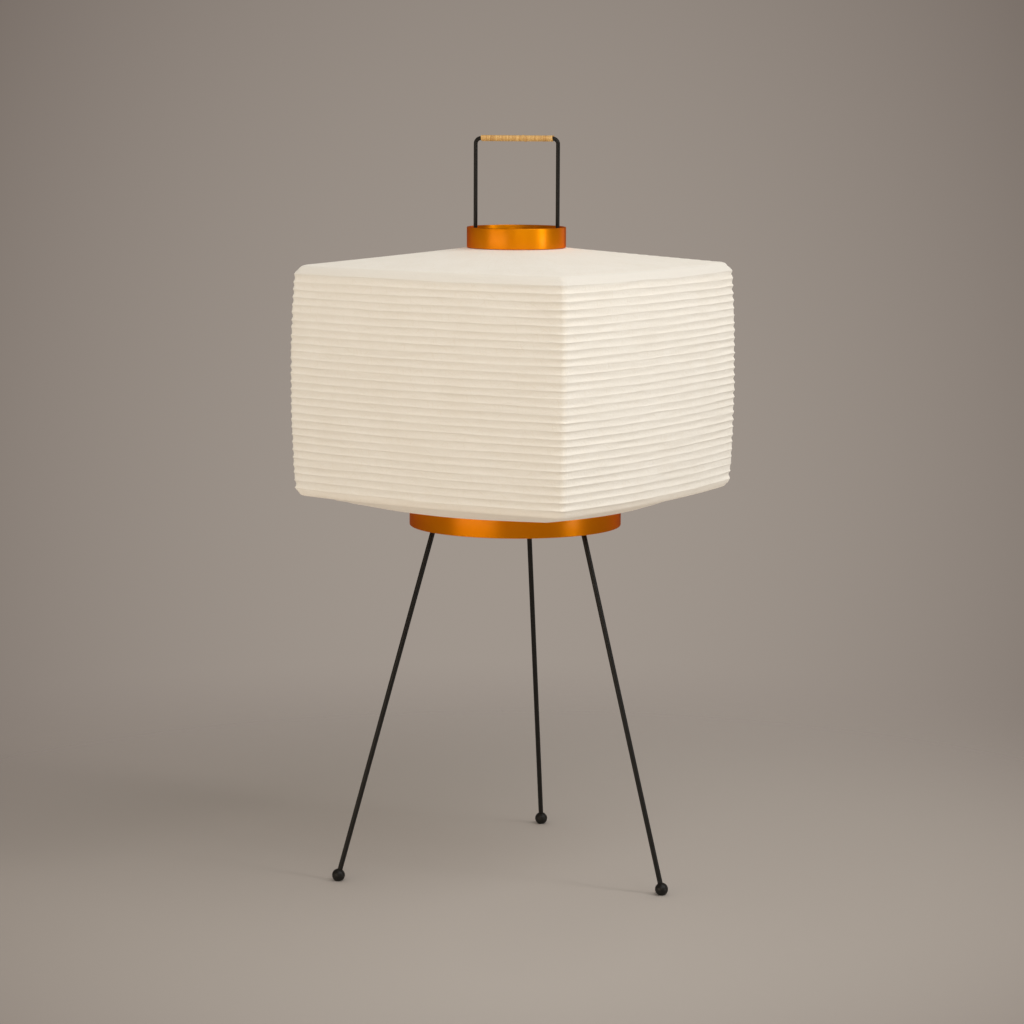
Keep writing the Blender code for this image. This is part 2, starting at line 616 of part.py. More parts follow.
def top_ring():
    """Ring on the upper mouth, with a lug on each upright and a screw that clamps it."""
    section = tube_profile(TOP_RING_INNER, TOP_RING_RADIUS, 0.0, TOP_RING_HEIGHT, RING_LIP)
    turned("top_ring", section, ORANGE, SLIDER, (0.0, 0.0, TOP_RING_Z), RING_SEGMENTS)

    lug_low = TOP_HOOP_TOP_Z + SEAT
    lug_middle = lug_low + LUG_HEIGHT / 2.0
    half = LUG_WIDTH / 2.0
    back = TOP_RING_INNER * math.cos(math.pi / RING_SEGMENTS) - SEAT
    back_angle = math.asin(half / back)
    inner_x = UPRIGHT_X - BAR_RADIUS - SLIDE - LUG_INNER_WALL
    arc_steps = 6
    outline = [(inner_x, half), (inner_x, -half)]
    for i in range(arc_steps + 1):
        angle = back_angle * (2.0 * i / arc_steps - 1.0)
        outline.append((back * math.cos(angle), back * math.sin(angle)))
    hole = circle(UPRIGHT_X, 0.0, BAR_RADIUS + SLIDE, SCREW_SEGMENTS)
    tip = BAR_RADIUS + SEAT
    head = half + SEAT
    screw_section = rod_profile(
        (SET_SCREW_HEAD_RADIUS, head + SET_SCREW_HEAD_HEIGHT, head), (SET_SCREW_RADIUS, head, tip))
    for side, sign in (("left", -1.0), ("right", 1.0)):
        mirrored = [[(sign * x, y) for x, y in points] for points in (outline, hole)]
        lug = as_mesh(flat(
            f"ring_lug_{side}", mirrored, LUG_HEIGHT, STEEL, SLIDER, (0.0, 0.0, lug_middle)))
        spot = Matrix.Translation((sign * UPRIGHT_X, 0.0, lug_middle))
        front = spot @ Matrix.Rotation(math.pi / 2.0, 4, "X")
        cut(lug, upright_cylinder(
            f"lug_screw_hole_{side}", SET_SCREW_RADIUS + SEAT, LUG_WIDTH, SCREW_SEGMENTS, front))
        turned(
            f"set_screw_{side}", screw_section, STEEL, SLIDER, (sign * UPRIGHT_X, 0.0, lug_middle),
            SCREW_SEGMENTS, (math.pi / 2.0, 0.0, 0.0))


def handle_frame():
    """One bar: up from a socket on the plate, across as the grip, and down to the other socket."""
    bend_x = UPRIGHT_X - BAR_BEND
    bend_z = GRIP_Z - BAR_BEND
    bend_steps = 6
    right = [(UPRIGHT_X, 0.0, ON_PLATE_Z)]
    for i in range(bend_steps + 1):
        angle = math.pi / 2.0 * i / bend_steps
        right.append((bend_x + BAR_BEND * math.cos(angle), 0.0, bend_z + BAR_BEND * math.sin(angle)))
    left = [(-x, y, z) for x, y, z in reversed(right)]
    bar("handle_frame", right + left, BAR_RADIUS, BAR_FINENESS, BLACK, BASE)
    section = tube_profile(BAR_RADIUS + SEAT, UPRIGHT_SOCKET_RADIUS, 0.0, UPRIGHT_SOCKET_HEIGHT)
    for side, sign in (("left", -1.0), ("right", 1.0)):
        spot = (sign * UPRIGHT_X, 0.0, ON_PLATE_Z)
        turned(f"upright_socket_{side}", section, STEEL, BASE, spot)


def cane_grip():
    """Flat cane wound round the handle's cross bar, one unbroken strip."""
    length = 2.0 * (UPRIGHT_X - BAR_BEND)
    pitch = length / (CANE_TURNS + 1)
    width = pitch - CANE_GAP
    radius = BAR_RADIUS + SEAT + CANE_THICKNESS / 2.0
    points = []
    for i in range(CANE_TURNS * CANE_POINTS + 1):
        angle = math.tau * i / CANE_POINTS
        along = pitch * (i / CANE_POINTS - CANE_TURNS / 2.0)
        points.append((radius * math.cos(angle), radius * math.sin(angle), along))

    strip = bpy.data.curves.new("cane_section", "CURVE")
    strip.dimensions = "2D"
    spline = strip.splines.new("POLY")
    half = width / 2.0
    thick = CANE_THICKNESS / 2.0
    shape = [(-thick, half), (thick, half), (thick, -half), (-thick, -half)]
    spline.points.add(len(shape) - 1)
    spline.use_cyclic_u = True
    for spot, (x, y) in zip(spline.points, shape):
        spot.co = (x, y, 0.0, 1.0)
    guide = bpy.data.objects.new("cane_section", strip)
    guide.hide_render = True
    guide.display_type = "WIRE"
    CUTTERS.objects.link(guide)

    curve = bpy.data.curves.new("cane_grip", "CURVE")
    curve.dimensions = "3D"
    curve.twist_mode = "Z_UP"
    curve.bevel_mode = "OBJECT"
    curve.bevel_object = guide
    curve.use_fill_caps = True
    spline = curve.splines.new("POLY")
    spline.points.add(len(points) - 1)
    for spot, point in zip(spline.points, points):
        spot.co = (*point, 1.0)
    place(bpy.data.objects.new("cane_grip", curve), CANE, BASE, (0.0, 0.0, GRIP_Z), (0.0, math.pi / 2.0, 0.0))
    gap = least_gap(points, width, CANE_POINTS)
    print(f"cane_grip: {CANE_TURNS} turns, least gap {gap * 1000.0:.2f} mm")


def lampholder():
    """Threaded nipple with its nut and gland, and the holder's cup, core, contact and shell."""
    axis = (0.0, 0.0, 0.0)
    nut_top = PLATE_BOTTOM_Z - SEAT
    nut_bottom = nut_top - LOCKNUT_HEIGHT
    nipple_low = nut_bottom - NIPPLE_BELOW
    floor_top = ON_PLATE_Z + HOLDER_FLOOR
    nipple_high = floor_top + NIPPLE_ABOVE
    turned("nipple", tube_profile(NIPPLE_BORE, NIPPLE_RADIUS, nipple_low, nipple_high), STEEL, BASE, axis)
    hexagon = [polar(LOCKNUT_RADIUS, 60.0 * i).to_2d() for i in range(6)]
    bore = circle(0.0, 0.0, NIPPLE_RADIUS + SEAT)
    middle = (nut_top + nut_bottom) / 2.0
    flat("locknut", [hexagon, bore], LOCKNUT_HEIGHT, STEEL, BASE, (0.0, 0.0, middle))

    flange_top = nipple_low - SEAT
    flange_low = flange_top - GLAND_FLANGE_HEIGHT
    spigot = NIPPLE_BORE - SEAT
    section = [
        (spigot, nipple_low + GLAND_SPIGOT), (spigot, flange_top), (GLAND_FLANGE_RADIUS, flange_top),
        (GLAND_FLANGE_RADIUS, flange_low), (GLAND_BORE, flange_low), (GLAND_BORE, nipple_low + GLAND_SPIGOT),
    ]
    turned("cable_gland", section, PLASTIC, BASE, axis)

    base_top = ON_PLATE_Z + HOLDER_BASE_HEIGHT
    inside = HOLDER_RADIUS - HOLDER_WALL
    hole = NIPPLE_RADIUS + SEAT
    section = [
        (HOLDER_RADIUS, base_top), (HOLDER_RADIUS, ON_PLATE_Z), (hole, ON_PLATE_Z), (hole, floor_top),
        (inside, floor_top), (inside, base_top),
    ]
    turned("holder_base", section, PLASTIC, BASE, axis)
    insert_low = floor_top + SEAT
    insert_top = insert_low + INSERT_HEIGHT
    recess = NIPPLE_RADIUS + 2.0 * SEAT
    outer = inside - SEAT
    section = [
        (0.0, insert_top), (outer, insert_top), (outer, insert_low), (recess, insert_low),
        (recess, insert_low + INSERT_RECESS), (0.0, insert_low + INSERT_RECESS),
    ]
    turned("holder_insert", section, CERAMIC, BASE, axis)
    contact_low = insert_top + SEAT
    contact_top = contact_low + HOLDER_CONTACT_HEIGHT
    section = rod_profile((HOLDER_CONTACT_RADIUS, contact_top, contact_low))
    turned("holder_contact", section, BRASS, BASE, axis, SCREW_SEGMENTS)
    bulb_low = contact_top + SEAT
    shell_top = bulb_low + BULB_FOOT_HEIGHT
    section = tube_profile(CAP_RADIUS + THREAD_GAP, HOLDER_RADIUS, base_top + SEAT, shell_top)
    turned("holder_shell", section, PLASTIC, BASE, axis)
    return bulb_low


def bulb(contact_z):
    """Bulb that stands on the holder's contact: its own contact, threaded cap and glass."""
    at = (0.0, 0.0, ON_PLATE_Z)
    low = contact_z - ON_PLATE_Z
    contact_top = low + BULB_CONTACT_HEIGHT
    section = rod_profile((BULB_CONTACT_RADIUS, contact_top, low))
    turned("bulb_contact", section, BRASS, THREAD, at, SCREW_SEGMENTS)

    cap_low = contact_top + SEAT
    thread_top = cap_low + CAP_TURNS * CAP_THREAD_PITCH
    cap_top = thread_top + CAP_RIM
    root = CAP_RADIUS - CAP_THREAD_DEPTH
    section = [(0.0, cap_top), (CAP_RADIUS, cap_top), (CAP_RADIUS, thread_top)]
    for turn in range(CAP_TURNS):
        section.append((root, thread_top - CAP_THREAD_PITCH * (turn + 0.5)))
        section.append((CAP_RADIUS, thread_top - CAP_THREAD_PITCH * (turn + 1.0)))
    section.append((0.0, cap_low))
    turned("bulb_cap", section, BRASS, THREAD, at)

    glass_low = cap_top + SEAT
    centre = glass_low + BULB_GLASS_HEIGHT - BULB_RADIUS
    head_steps = 7
    neck_steps = 4
    outside = []
    for i in range(head_steps + 1):
        angle = math.pi / 2.0 + (BULB_WAIST - math.pi / 2.0) * i / head_steps
        outside.append((BULB_RADIUS * math.cos(angle), centre + BULB_RADIUS * math.sin(angle)))
    waist_radius, waist_z = outside[-1]
    for i in range(1, neck_steps + 1):
        share = i / neck_steps
        taper = (1.0 + math.cos(math.pi * share)) / 2.0
        radius = BULB_NECK_RADIUS + (waist_radius - BULB_NECK_RADIUS) * taper
        outside.append((radius, waist_z + (glass_low - waist_z) * share))
    outside[0] = (0.0, centre + BULB_RADIUS)
    inside = [(max(radius - GLASS_WALL, 0.0), height) for radius, height in outside]
    inside[0] = (0.0, centre + BULB_RADIUS - GLASS_WALL)
    turned("bulb_glass", outside + inside[::-1], GLASS, THREAD, at)


legs_and_feet()
bottom_ring()
base_plate()
hoops()
shade_paper()
bamboo_rib()
top_ring()
handle_frame()
cane_grip()
bulb(lampholder())
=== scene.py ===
# %% [markdown]
# # A square paper lantern on three legs
#
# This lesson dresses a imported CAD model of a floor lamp: a ribbed paper lantern between two orange metal
# rings, three black bar legs with ball feet, and a carrying handle bound with cane. The CAD model says where
# every piece is and how it moves. Here each visible piece is modelled again in fine detail, in the same
# place, and given a finish made from shader nodes. All sizes are in metres, +Z is up, and the lamp stands
# on the origin.

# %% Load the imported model
import math

import bmesh
import bpy
import numpy as np
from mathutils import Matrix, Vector, noise


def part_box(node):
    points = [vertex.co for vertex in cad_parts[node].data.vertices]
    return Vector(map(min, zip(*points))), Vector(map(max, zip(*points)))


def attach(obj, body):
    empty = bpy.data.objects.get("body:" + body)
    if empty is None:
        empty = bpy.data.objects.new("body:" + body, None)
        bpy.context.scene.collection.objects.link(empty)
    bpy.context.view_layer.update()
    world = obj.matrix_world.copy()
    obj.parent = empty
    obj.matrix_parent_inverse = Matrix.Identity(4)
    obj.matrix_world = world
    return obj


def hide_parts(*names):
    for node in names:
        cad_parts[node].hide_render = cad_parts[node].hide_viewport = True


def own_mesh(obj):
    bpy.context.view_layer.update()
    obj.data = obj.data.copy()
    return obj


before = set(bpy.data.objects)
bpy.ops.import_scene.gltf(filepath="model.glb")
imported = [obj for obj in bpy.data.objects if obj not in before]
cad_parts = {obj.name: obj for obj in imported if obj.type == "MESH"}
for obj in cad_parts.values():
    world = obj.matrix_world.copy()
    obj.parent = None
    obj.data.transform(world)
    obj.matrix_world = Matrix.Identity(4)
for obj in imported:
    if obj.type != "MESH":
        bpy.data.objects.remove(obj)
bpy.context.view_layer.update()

# %% [markdown]
# ## The camera
#
# A long lens from a little above the lantern's top keeps the uprights straight and shows a narrow ellipse of
# each ring. The place and lens were fitted to the ring ellipses, the feet and the corners of the lantern.
# A camera looks down its own -Z, so a turn of 90 degrees about X makes it look along +Y, and a little less
# makes it look down.

# %% Camera
CAMERA_PLACE = (0.4985, -3.1335, 0.792)
CAMERA_PITCH = 7.672
CAMERA_AZIMUTH = 9.13
CAMERA_ROLL = -0.242
SENSOR = 36.0
FOCAL_PIXELS = 3174.1
IMAGE_PIXELS = 1024.0

bpy.ops.object.select_all(action="DESELECT")
bpy.ops.object.camera_add(
    location=CAMERA_PLACE,
    rotation=(math.radians(90.0 - CAMERA_PITCH), math.radians(CAMERA_ROLL), math.radians(CAMERA_AZIMUTH)),
)
camera = bpy.context.object
camera.name = "photo_camera"
camera.data.sensor_width = SENSOR
camera.data.lens = SENSOR * FOCAL_PIXELS / IMAGE_PIXELS
bpy.context.scene.camera = camera
bpy.context.scene.view_settings.view_transform = "Standard"
print("lens:", round(camera.data.lens, 1), "mm")

# %% [markdown]
# ## Helpers for nodes
#
# A finish is a small tree of nodes. Writing each node as one call keeps the trees readable: the kind of node,
# its settings, and for each input socket a typed value or the node that feeds it. A new material already has a
# Principled BSDF, which stays in the material itself.

# %% Node helpers
BLACK = (0.0, 0.0, 0.0, 1.0)


def fill(node, values):
    """Types values into input sockets, or links them to an output, or to a node's first output in use."""
    for socket, value in values.items():
        if isinstance(value, bpy.types.Node):
            value = next(output for output in value.outputs if output.enabled)
        if isinstance(value, bpy.types.NodeSocket):
            node.id_data.links.new(value, node.inputs[socket])
        else:
            node.inputs[socket].default_value = value
    return node


def add_node(tree, kind, values=None, **settings):
    """Adds a node, sets its options and fills its input sockets."""
    node = tree.nodes.new(kind)
    for option, choice in settings.items():
        setattr(node, option, choice)
    return fill(node, values or {})


def new_finish(name, values):
    """A material with its Principled BSDF, whose constant sockets are typed in."""
    material = bpy.data.materials.new(name)
    material.use_nodes = True
    shader = fill(material.node_tree.nodes["Principled BSDF"], values)
    return material, material.node_tree, shader


def linear(red, green, blue):
    """A colour picked on screen, 0 to 255, as the linear value that a socket takes."""
    shares = [channel / 255.0 for channel in (red, green, blue)]
    return tuple(s / 12.92 if s <= 0.04045 else ((s + 0.055) / 1.055) ** 2.4 for s in shares) + (1.0,)


def blend_colours(tree, factor, first, second):
    """A mix of two colours, which are typed in or come from other nodes."""
    return add_node(tree, "ShaderNodeMix", {"Factor": factor, "A": first, "B": second}, data_type="RGBA")


print("a mid grey of 128 is", round(linear(128, 128, 128)[0], 3), "in a socket")

# %% [markdown]
# ## Shared effects
#
# Three effects come back in several finishes, so each is a node group that is built once. Cloudy drift makes
# a colour or a gloss wander slowly over a surface. Drawn lines are the fine parallel scratches of brushed or
# turned metal, and of split cane and bamboo, where the fibres run one way. Fine grain is the tiny unevenness
# of lacquer, moulding and glaze.

# %% Node groups
def new_group(name, inputs, outputs):
    """A shader node group with named number and vector sockets."""
    group = bpy.data.node_groups.new(name, "ShaderNodeTree")
    for socket, kind, value in inputs:
        made = group.interface.new_socket(socket, in_out="INPUT", socket_type=kind)
        if value is not None:
            made.default_value = value
    for socket, kind in outputs:
        group.interface.new_socket(socket, in_out="OUTPUT", socket_type=kind)
    return group, group.nodes.new("NodeGroupInput"), group.nodes.new("NodeGroupOutput")


cloudy_drift, entry, leave = new_group(
    "cloudy_drift",
    [("Scale", "NodeSocketFloat", 30.0), ("Contrast", "NodeSocketFloat", 2.0)],
    [("Mask", "NodeSocketFloat")],
)
where = add_node(cloudy_drift, "ShaderNodeTexCoord")
cloud = add_node(cloudy_drift, "ShaderNodeTexNoise", {
    "Vector": where.outputs["Object"], "Scale": entry.outputs["Scale"], "Detail": 5.0, "Roughness": 0.6})
centred = add_node(cloudy_drift, "ShaderNodeMath", {0: cloud, 1: 0.5}, operation="SUBTRACT")
spread = add_node(
    cloudy_drift, "ShaderNodeMath", {0: centred, 1: entry.outputs["Contrast"]}, operation="MULTIPLY")
lifted = add_node(cloudy_drift, "ShaderNodeMath", {0: spread, 1: 0.5}, operation="ADD", use_clamp=True)
fill(leave, {"Mask": lifted})

drawn_lines, entry, leave = new_group(
    "drawn_lines",
    [("Vector", "NodeSocketVector", None), ("Stretch", "NodeSocketVector", (25.0, 25.0, 3000.0))],
    [("Lines", "NodeSocketFloat")],
)
stretched = add_node(drawn_lines, "ShaderNodeVectorMath", {
    0: entry.outputs["Vector"], 1: entry.outputs["Stretch"]}, operation="MULTIPLY")
streaks = add_node(drawn_lines, "ShaderNodeTexNoise", {
    "Vector": stretched, "Scale": 1.0, "Detail": 3.0, "Roughness": 0.55})
fill(leave, {"Lines": streaks})

fine_grain, entry, leave = new_group(
    "fine_grain", [("Scale", "NodeSocketFloat", 900.0)], [("Height", "NodeSocketFloat")])
where = add_node(fine_grain, "ShaderNodeTexCoord")
grain = add_node(fine_grain, "ShaderNodeTexNoise", {
    "Vector": where.outputs["Object"], "Scale": entry.outputs["Scale"], "Detail": 2.0, "Roughness": 0.5})
fill(leave, {"Height": grain})
print("node groups:", [group.name for group in bpy.data.node_groups])

# %% [markdown]
# ## Finishes of the metal and moulded pieces
#
# The rings are aluminium, anodised a clear deep orange over fine lathe brushing, so they are metallic with a
# saturated colour, and the brushing stretches each highlight into an upright band. The bars and balls are
# steel under thin black lacquer. The small fittings inside are zinc plated steel, brass and black mouldings.
# Two functions make them all, one for drawn and one for plain surfaces, because the finishes differ only in
# colours, gloss and the size of their texture.

# %% Two kinds of finish
METAL_DRIFT = {"Scale": 22.0, "Contrast": 1.6}


def place_group(tree, group, values):
    """Puts a shared effect into a material with its own values."""
    return add_node(tree, "ShaderNodeGroup", values, node_tree=group)


def link_bump(shader, height, strength, distance):
    """Lets a height texture tilt the shading of the surface."""
    fill(shader, {"Normal": add_node(shader.id_data, "ShaderNodeBump", {
        "Height": height, "Strength": strength, "Distance": distance})})


def link_gloss(shader, value, low, high):
    """Spreads a 0 to 1 value over a range of roughness."""
    fill(shader, {"Roughness": add_node(shader.id_data, "ShaderNodeMapRange", {
        "Value": value, "To Min": low, "To Max": high})})


def plain_finish(name, values, colours, drift, gloss, grain):
    """A finish whose colour and gloss drift a little, with a fine grain.

    drift is (scale, contrast), gloss the range of roughness, grain (scale, strength, depth)."""
    material, tree, shader = new_finish(name, values)
    cloud_mask = place_group(tree, cloudy_drift, {"Scale": drift[0], "Contrast": drift[1]})
    fill(shader, {"Base Color": blend_colours(tree, cloud_mask, *colours)})
    link_gloss(shader, cloud_mask, *gloss)
    link_bump(shader, place_group(tree, fine_grain, {"Scale": grain[0]}), *grain[1:])
    return material


def drawn_finish(name, values, colours, stretch, gloss, strength, depth):
    """A metal finish with fine lines drawn along one direction."""
    material, tree, shader = new_finish(name, values)
    where_on = add_node(tree, "ShaderNodeTexCoord")
    lines = place_group(tree, drawn_lines, {"Vector": where_on.outputs["Object"], "Stretch": stretch})
    cloud_mask = place_group(tree, cloudy_drift, METAL_DRIFT)
    both = add_node(tree, "ShaderNodeMath", {0: lines, 1: cloud_mask}, operation="MULTIPLY", use_clamp=True)
    fill(shader, {"Base Color": blend_colours(tree, both, *colours)})
    link_gloss(shader, lines, *gloss)
    link_bump(shader, lines, strength, depth)
    return material


# %% Metal, lacquer and moulding
anodised_orange = drawn_finish(
    "anodised_orange",
    {"Metallic": 0.92, "Anisotropic": 0.85, "Anisotropic Rotation": 0.25,
     "Specular Tint": linear(255, 140, 10), "Coat Weight": 0.12, "Coat Roughness": 0.22},
    (linear(254, 150, 3), linear(255, 167, 8)), (18.0, 18.0, 2600.0), (0.45, 0.53), 0.12, 0.0002)
black_lacquer = plain_finish(
    "black_lacquer", {"Specular IOR Level": 0.3, "Coat Weight": 0.08, "Coat Roughness": 0.4},
    (linear(13, 11, 8), linear(22, 19, 14)), (60.0, 2.2), (0.42, 0.56), (700.0, 0.10, 0.0002))
zinc_steel = drawn_finish(
    "zinc_steel", {"Metallic": 1.0},
    (linear(176, 176, 174), linear(198, 197, 193)), (60.0, 60.0, 1400.0), (0.28, 0.44), 0.10, 0.0002)
bright_brass = drawn_finish(
    "bright_brass", {"Metallic": 1.0},
    (linear(198, 158, 84), linear(222, 186, 112)), (60.0, 60.0, 2200.0), (0.20, 0.34), 0.08, 0.0002)
black_moulding = plain_finish(
    "black_moulding", {"Specular IOR Level": 0.4},
    (linear(30, 29, 28), linear(42, 41, 39)), (45.0, 1.8), (0.48, 0.62), (1500.0, 0.22, 0.0002))
glazed_ceramic = plain_finish(
    "glazed_ceramic", {"Coat Weight": 0.6, "Coat Roughness": 0.08},
    (linear(232, 229, 220), linear(240, 238, 231)), (40.0, 1.5), (0.22, 0.32), (260.0, 0.08, 0.0003))
opal_glass = plain_finish(
    "opal_glass", {"Specular IOR Level": 0.5, "Coat Weight": 0.5, "Coat Roughness": 0.05},
    (linear(238, 235, 226), linear(246, 244, 238)), (25.0, 1.2), (0.12, 0.22), (180.0, 0.03, 0.0002))
print("finishes:", len(bpy.data.materials))

# %% [markdown]
# ## Starting a piece, and turning one on a lathe
#
# Loading leaves everything selected, and operators act on all that is selected, so each piece starts from an
# empty selection. Most metal pieces of the lamp were made on a lathe. By hand that is: draw half of the
# section as a chain of points, round its corners with a bevel, and spin it about the axis. The chain starts
# from a plane whose four points are merged into one, which is then extruded from corner to corner.

# %% Modelling helpers
SMOOTH_ANGLE = math.radians(32.0)
MERGE = 0.000002


def object_mode():
    bpy.ops.object.mode_set(mode="OBJECT")


def deselect():
    """Leaves edit mode and clears the selection."""
    if bpy.context.object is not None and bpy.context.object.mode != "OBJECT":
        object_mode()
    bpy.ops.object.select_all(action="DESELECT")


def pick(piece):
    """Makes a piece the only one that operators act on."""
    deselect()
    piece.select_set(True)
    bpy.context.view_layer.objects.active = piece


def named(name):
    """Names the piece that an operator has just made."""
    piece = bpy.context.object
    piece.name = name
    piece.data.name = name
    return piece


def select_points(action):
    bpy.ops.mesh.select_all(action=action)


def edit_all():
    """Goes into edit mode with every point selected."""
    bpy.ops.object.mode_set(mode="EDIT")
    bpy.ops.mesh.select_mode(type="VERT")
    select_points("SELECT")


def settle(piece, location=None, rotation=None):
    """Puts the piece in its place and moves that place into its mesh."""
    if location is not None:
        piece.location = location
    if rotation is not None:
        piece.rotation_euler = rotation
    pick(piece)
    bpy.ops.object.transform_apply(location=True, rotation=True, scale=True)
    bpy.ops.object.shade_smooth_by_angle(angle=SMOOTH_ANGLE)
    return piece


def apply_modifier(piece, kind, **settings):
    """Adds a modifier, sets its options and applies it."""
    pick(piece)
    modifier = piece.modifiers.new(kind.lower(), kind)
    for option, choice in settings.items():
        setattr(modifier, option, choice)
    bpy.ops.object.modifier_apply(modifier=modifier.name)


def repaint(piece, finish):
    piece.data.materials.clear()
    piece.data.materials.append(finish)


def dress(piece, finish, slot, body, *nodes):
    """Gives a finished piece its finish, the body it moves with and the CAD nodes it stands for."""
    repaint(piece, finish)
    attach(piece, body)
    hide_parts(*nodes)
    print(f"{piece.name}: {len(piece.data.polygons)} faces")


# %% Lathe
ROUNDING_STEPS = 4


def turned(name, profile, rounding=0.0, steps=96, closed=True):
    """Spins a profile of (radius, height) points about the Z axis."""
    deselect()
    bpy.ops.mesh.primitive_plane_add(size=0.001)
    piece = named(name)
    edit_all()
    bpy.ops.mesh.merge(type="CENTER")
    bpy.ops.transform.translate(value=(profile[0][0], 0.0, profile[0][1]))
    for (radius, height), (next_radius, next_height) in zip(profile, profile[1:]):
        step = (next_radius - radius, 0.0, next_height - height)
        bpy.ops.mesh.extrude_vertices_move(TRANSFORM_OT_translate={"value": step})
    if closed:
        chain = bmesh.from_edit_mesh(piece.data)
        chain.verts.ensure_lookup_table()
        chain.verts[0].select = True
        bmesh.update_edit_mesh(piece.data)
        bpy.ops.mesh.edge_face_add()
    select_points("SELECT")
    if rounding:
        bpy.ops.mesh.bevel(offset=rounding, segments=ROUNDING_STEPS, affect="VERTICES")
        select_points("SELECT")
    bpy.ops.mesh.spin(steps=steps, angle=math.tau, center=(0.0, 0.0, 0.0), axis=(0.0, 0.0, 1.0))
    select_points("SELECT")
    bpy.ops.mesh.remove_doubles(threshold=MERGE)
    bpy.ops.mesh.normals_make_consistent(inside=False)
    object_mode()
    return piece


def tube(outer, inner, low, high):
    """Section of a plain tube."""
    return [(outer, low), (outer, high), (inner, high), (inner, low)]


# %% [markdown]
# ## The paper lantern
#
# The shade is thin handmade paper pasted over one long bamboo splint. Seen from above it is a square with
# slightly bowed sides and small round corners, and it swells a little at mid height. Between two ribs the
# paper has shrunk inwards as it dried, so the section is a row of shallow hollows that meet in a crest at
# each rib: light from above makes a bright line on each crest and a shade right under it. On the sloping top
# the paper is stretched nearly flat, and the underside is slack and hangs in a slight belly.
#
# A grid is a sheet of paper. Its columns run round the lantern, its rows run from the upper mouth to the
# lower one, and its own UV map stays on it when it is rolled up, which keeps the fibres of the finish on the
# paper. The rows are set closer at the crests.

# %% Shape of the lantern without its ribs
APOTHEM = 0.1755            # from the axis to the middle of a side, at mid height
BARREL = 0.0038             # how much wider it is at mid height than at its shoulders
BOW_RADIUS = 0.98           # the sides are bowed to this radius
CORNER_RADIUS = 0.007
SHOULDER, LOW_SHOULDER = 0.0115, 0.0090     # rounding of the upper and lower edge
LANTERN_TURN = math.radians(-24.3)
SIDE_LOW, SIDE_HIGH = 0.3858, 0.6153
SIDE_COLUMNS = 28
CORNER_COLUMNS = 8


def outline(apothem):
    """Points of the lantern's plan, once round."""
    centre = apothem - BOW_RADIUS
    reach = BOW_RADIUS - CORNER_RADIUS
    corner = (math.sqrt(2.0) * centre + math.sqrt(4.0 * reach ** 2 - 2.0 * centre ** 2)) / 2.0
    middle = corner / math.sqrt(2.0)
    tangent = math.atan2(middle, middle - centre)
    side = np.linspace(-tangent, tangent, SIDE_COLUMNS)
    bend = np.linspace(tangent, math.pi / 2.0 - tangent, CORNER_COLUMNS + 2)[1:-1]
    x = np.concatenate([centre + BOW_RADIUS * np.cos(side), middle + CORNER_RADIUS * np.cos(bend)])
    y = np.concatenate([BOW_RADIUS * np.sin(side), middle + CORNER_RADIUS * np.sin(bend)])
    quarters = []
    for quarter in range(4):
        turn = LANTERN_TURN + quarter * math.pi / 2.0
        cosine, sine = math.cos(turn), math.sin(turn)
        quarters.append(np.stack([x * cosine - y * sine, x * sine + y * cosine], axis=1))
    return np.concatenate(quarters)


def plan_at(height):
    """The lantern's plan at a height, with the swell and the rounded shoulders."""
    half = (SIDE_HIGH - SIDE_LOW) / 2.0
    swell = (height - SIDE_LOW - half) / half
    rounding = 0.0
    for edge, radius in ((SIDE_HIGH - height, SHOULDER), (height - SIDE_LOW, LOW_SHOULDER)):
        if edge < radius:
            rounding = radius - math.sqrt(radius ** 2 - (radius - edge) ** 2)
    return outline(APOTHEM - BARREL * swell ** 2 - rounding)


def round_mouth(radius, plan):
    """A circle with a point in the direction of each point of a plan."""
    return plan / np.linalg.norm(plan, axis=1)[:, None] * radius


columns = len(outline(APOTHEM))
print("points round the lantern:", columns)

# %% Rows of the sheet
FOOT_RADIUS, FOOT_HEIGHT = 0.1039, 0.3733
HEAD_RADIUS, HEAD_HEIGHT = 0.0477, 0.6308
PASTED_EDGE = 0.0034        # paper turned in at both mouths
FOLD = 0.0006               # rounding of that fold
RIBS = 30
SAG = 0.00084               # depth of the hollow between two ribs on the sides
TOP_SAG = 0.00026           # the same on the top
UNDER_SAG = 0.0009          # and on the underside
EDGE_SAG = 0.8              # share of the depth right at the shoulders
EDGE_REACH = 1.6            # shoulder radii over which the depth grows
SIDE_STEPS = (0.0, 0.05, 0.12, 0.24, 0.5, 0.76, 0.88, 0.95)
PLANE_STEPS = (0.0, 0.2, 0.8)
PLANE_RIBS_ABOVE, PLANE_RIBS_BELOW = 15, 7
EDGE_STEPS = (0.0001, 0.0004, 0.0009)
CREST_MARGIN = 0.0012       # from the edge of the sides to the first crest
BELLY = 0.0045              # how far the slack underside hangs below a straight slope
BELLY_POWER = 0.7           # below 1, the belly hangs lowest near the mouth

rib_step = (SIDE_HIGH - SIDE_LOW - 2.0 * CREST_MARGIN) / RIBS


def slope_rows(mouth_radius, mouth_height, edge_plan, edge_height, ribs, sag, belly=0.0):
    """Rows on the slope from a mouth out to a shoulder, straight or with a belly."""
    mouth = round_mouth(mouth_radius, edge_plan)
    found = []
    for rib in range(ribs):
        for step in PLANE_STEPS:
            share = (rib + step) / ribs
            hanging = belly * (1.0 - math.cos(math.tau * share ** BELLY_POWER)) / 2.0
            height = mouth_height + (edge_height - mouth_height) * share - hanging
            depth = 0.0 if rib == 0 else sag
            found.append((mouth + (edge_plan - mouth) * share, height, step, depth))
    return found


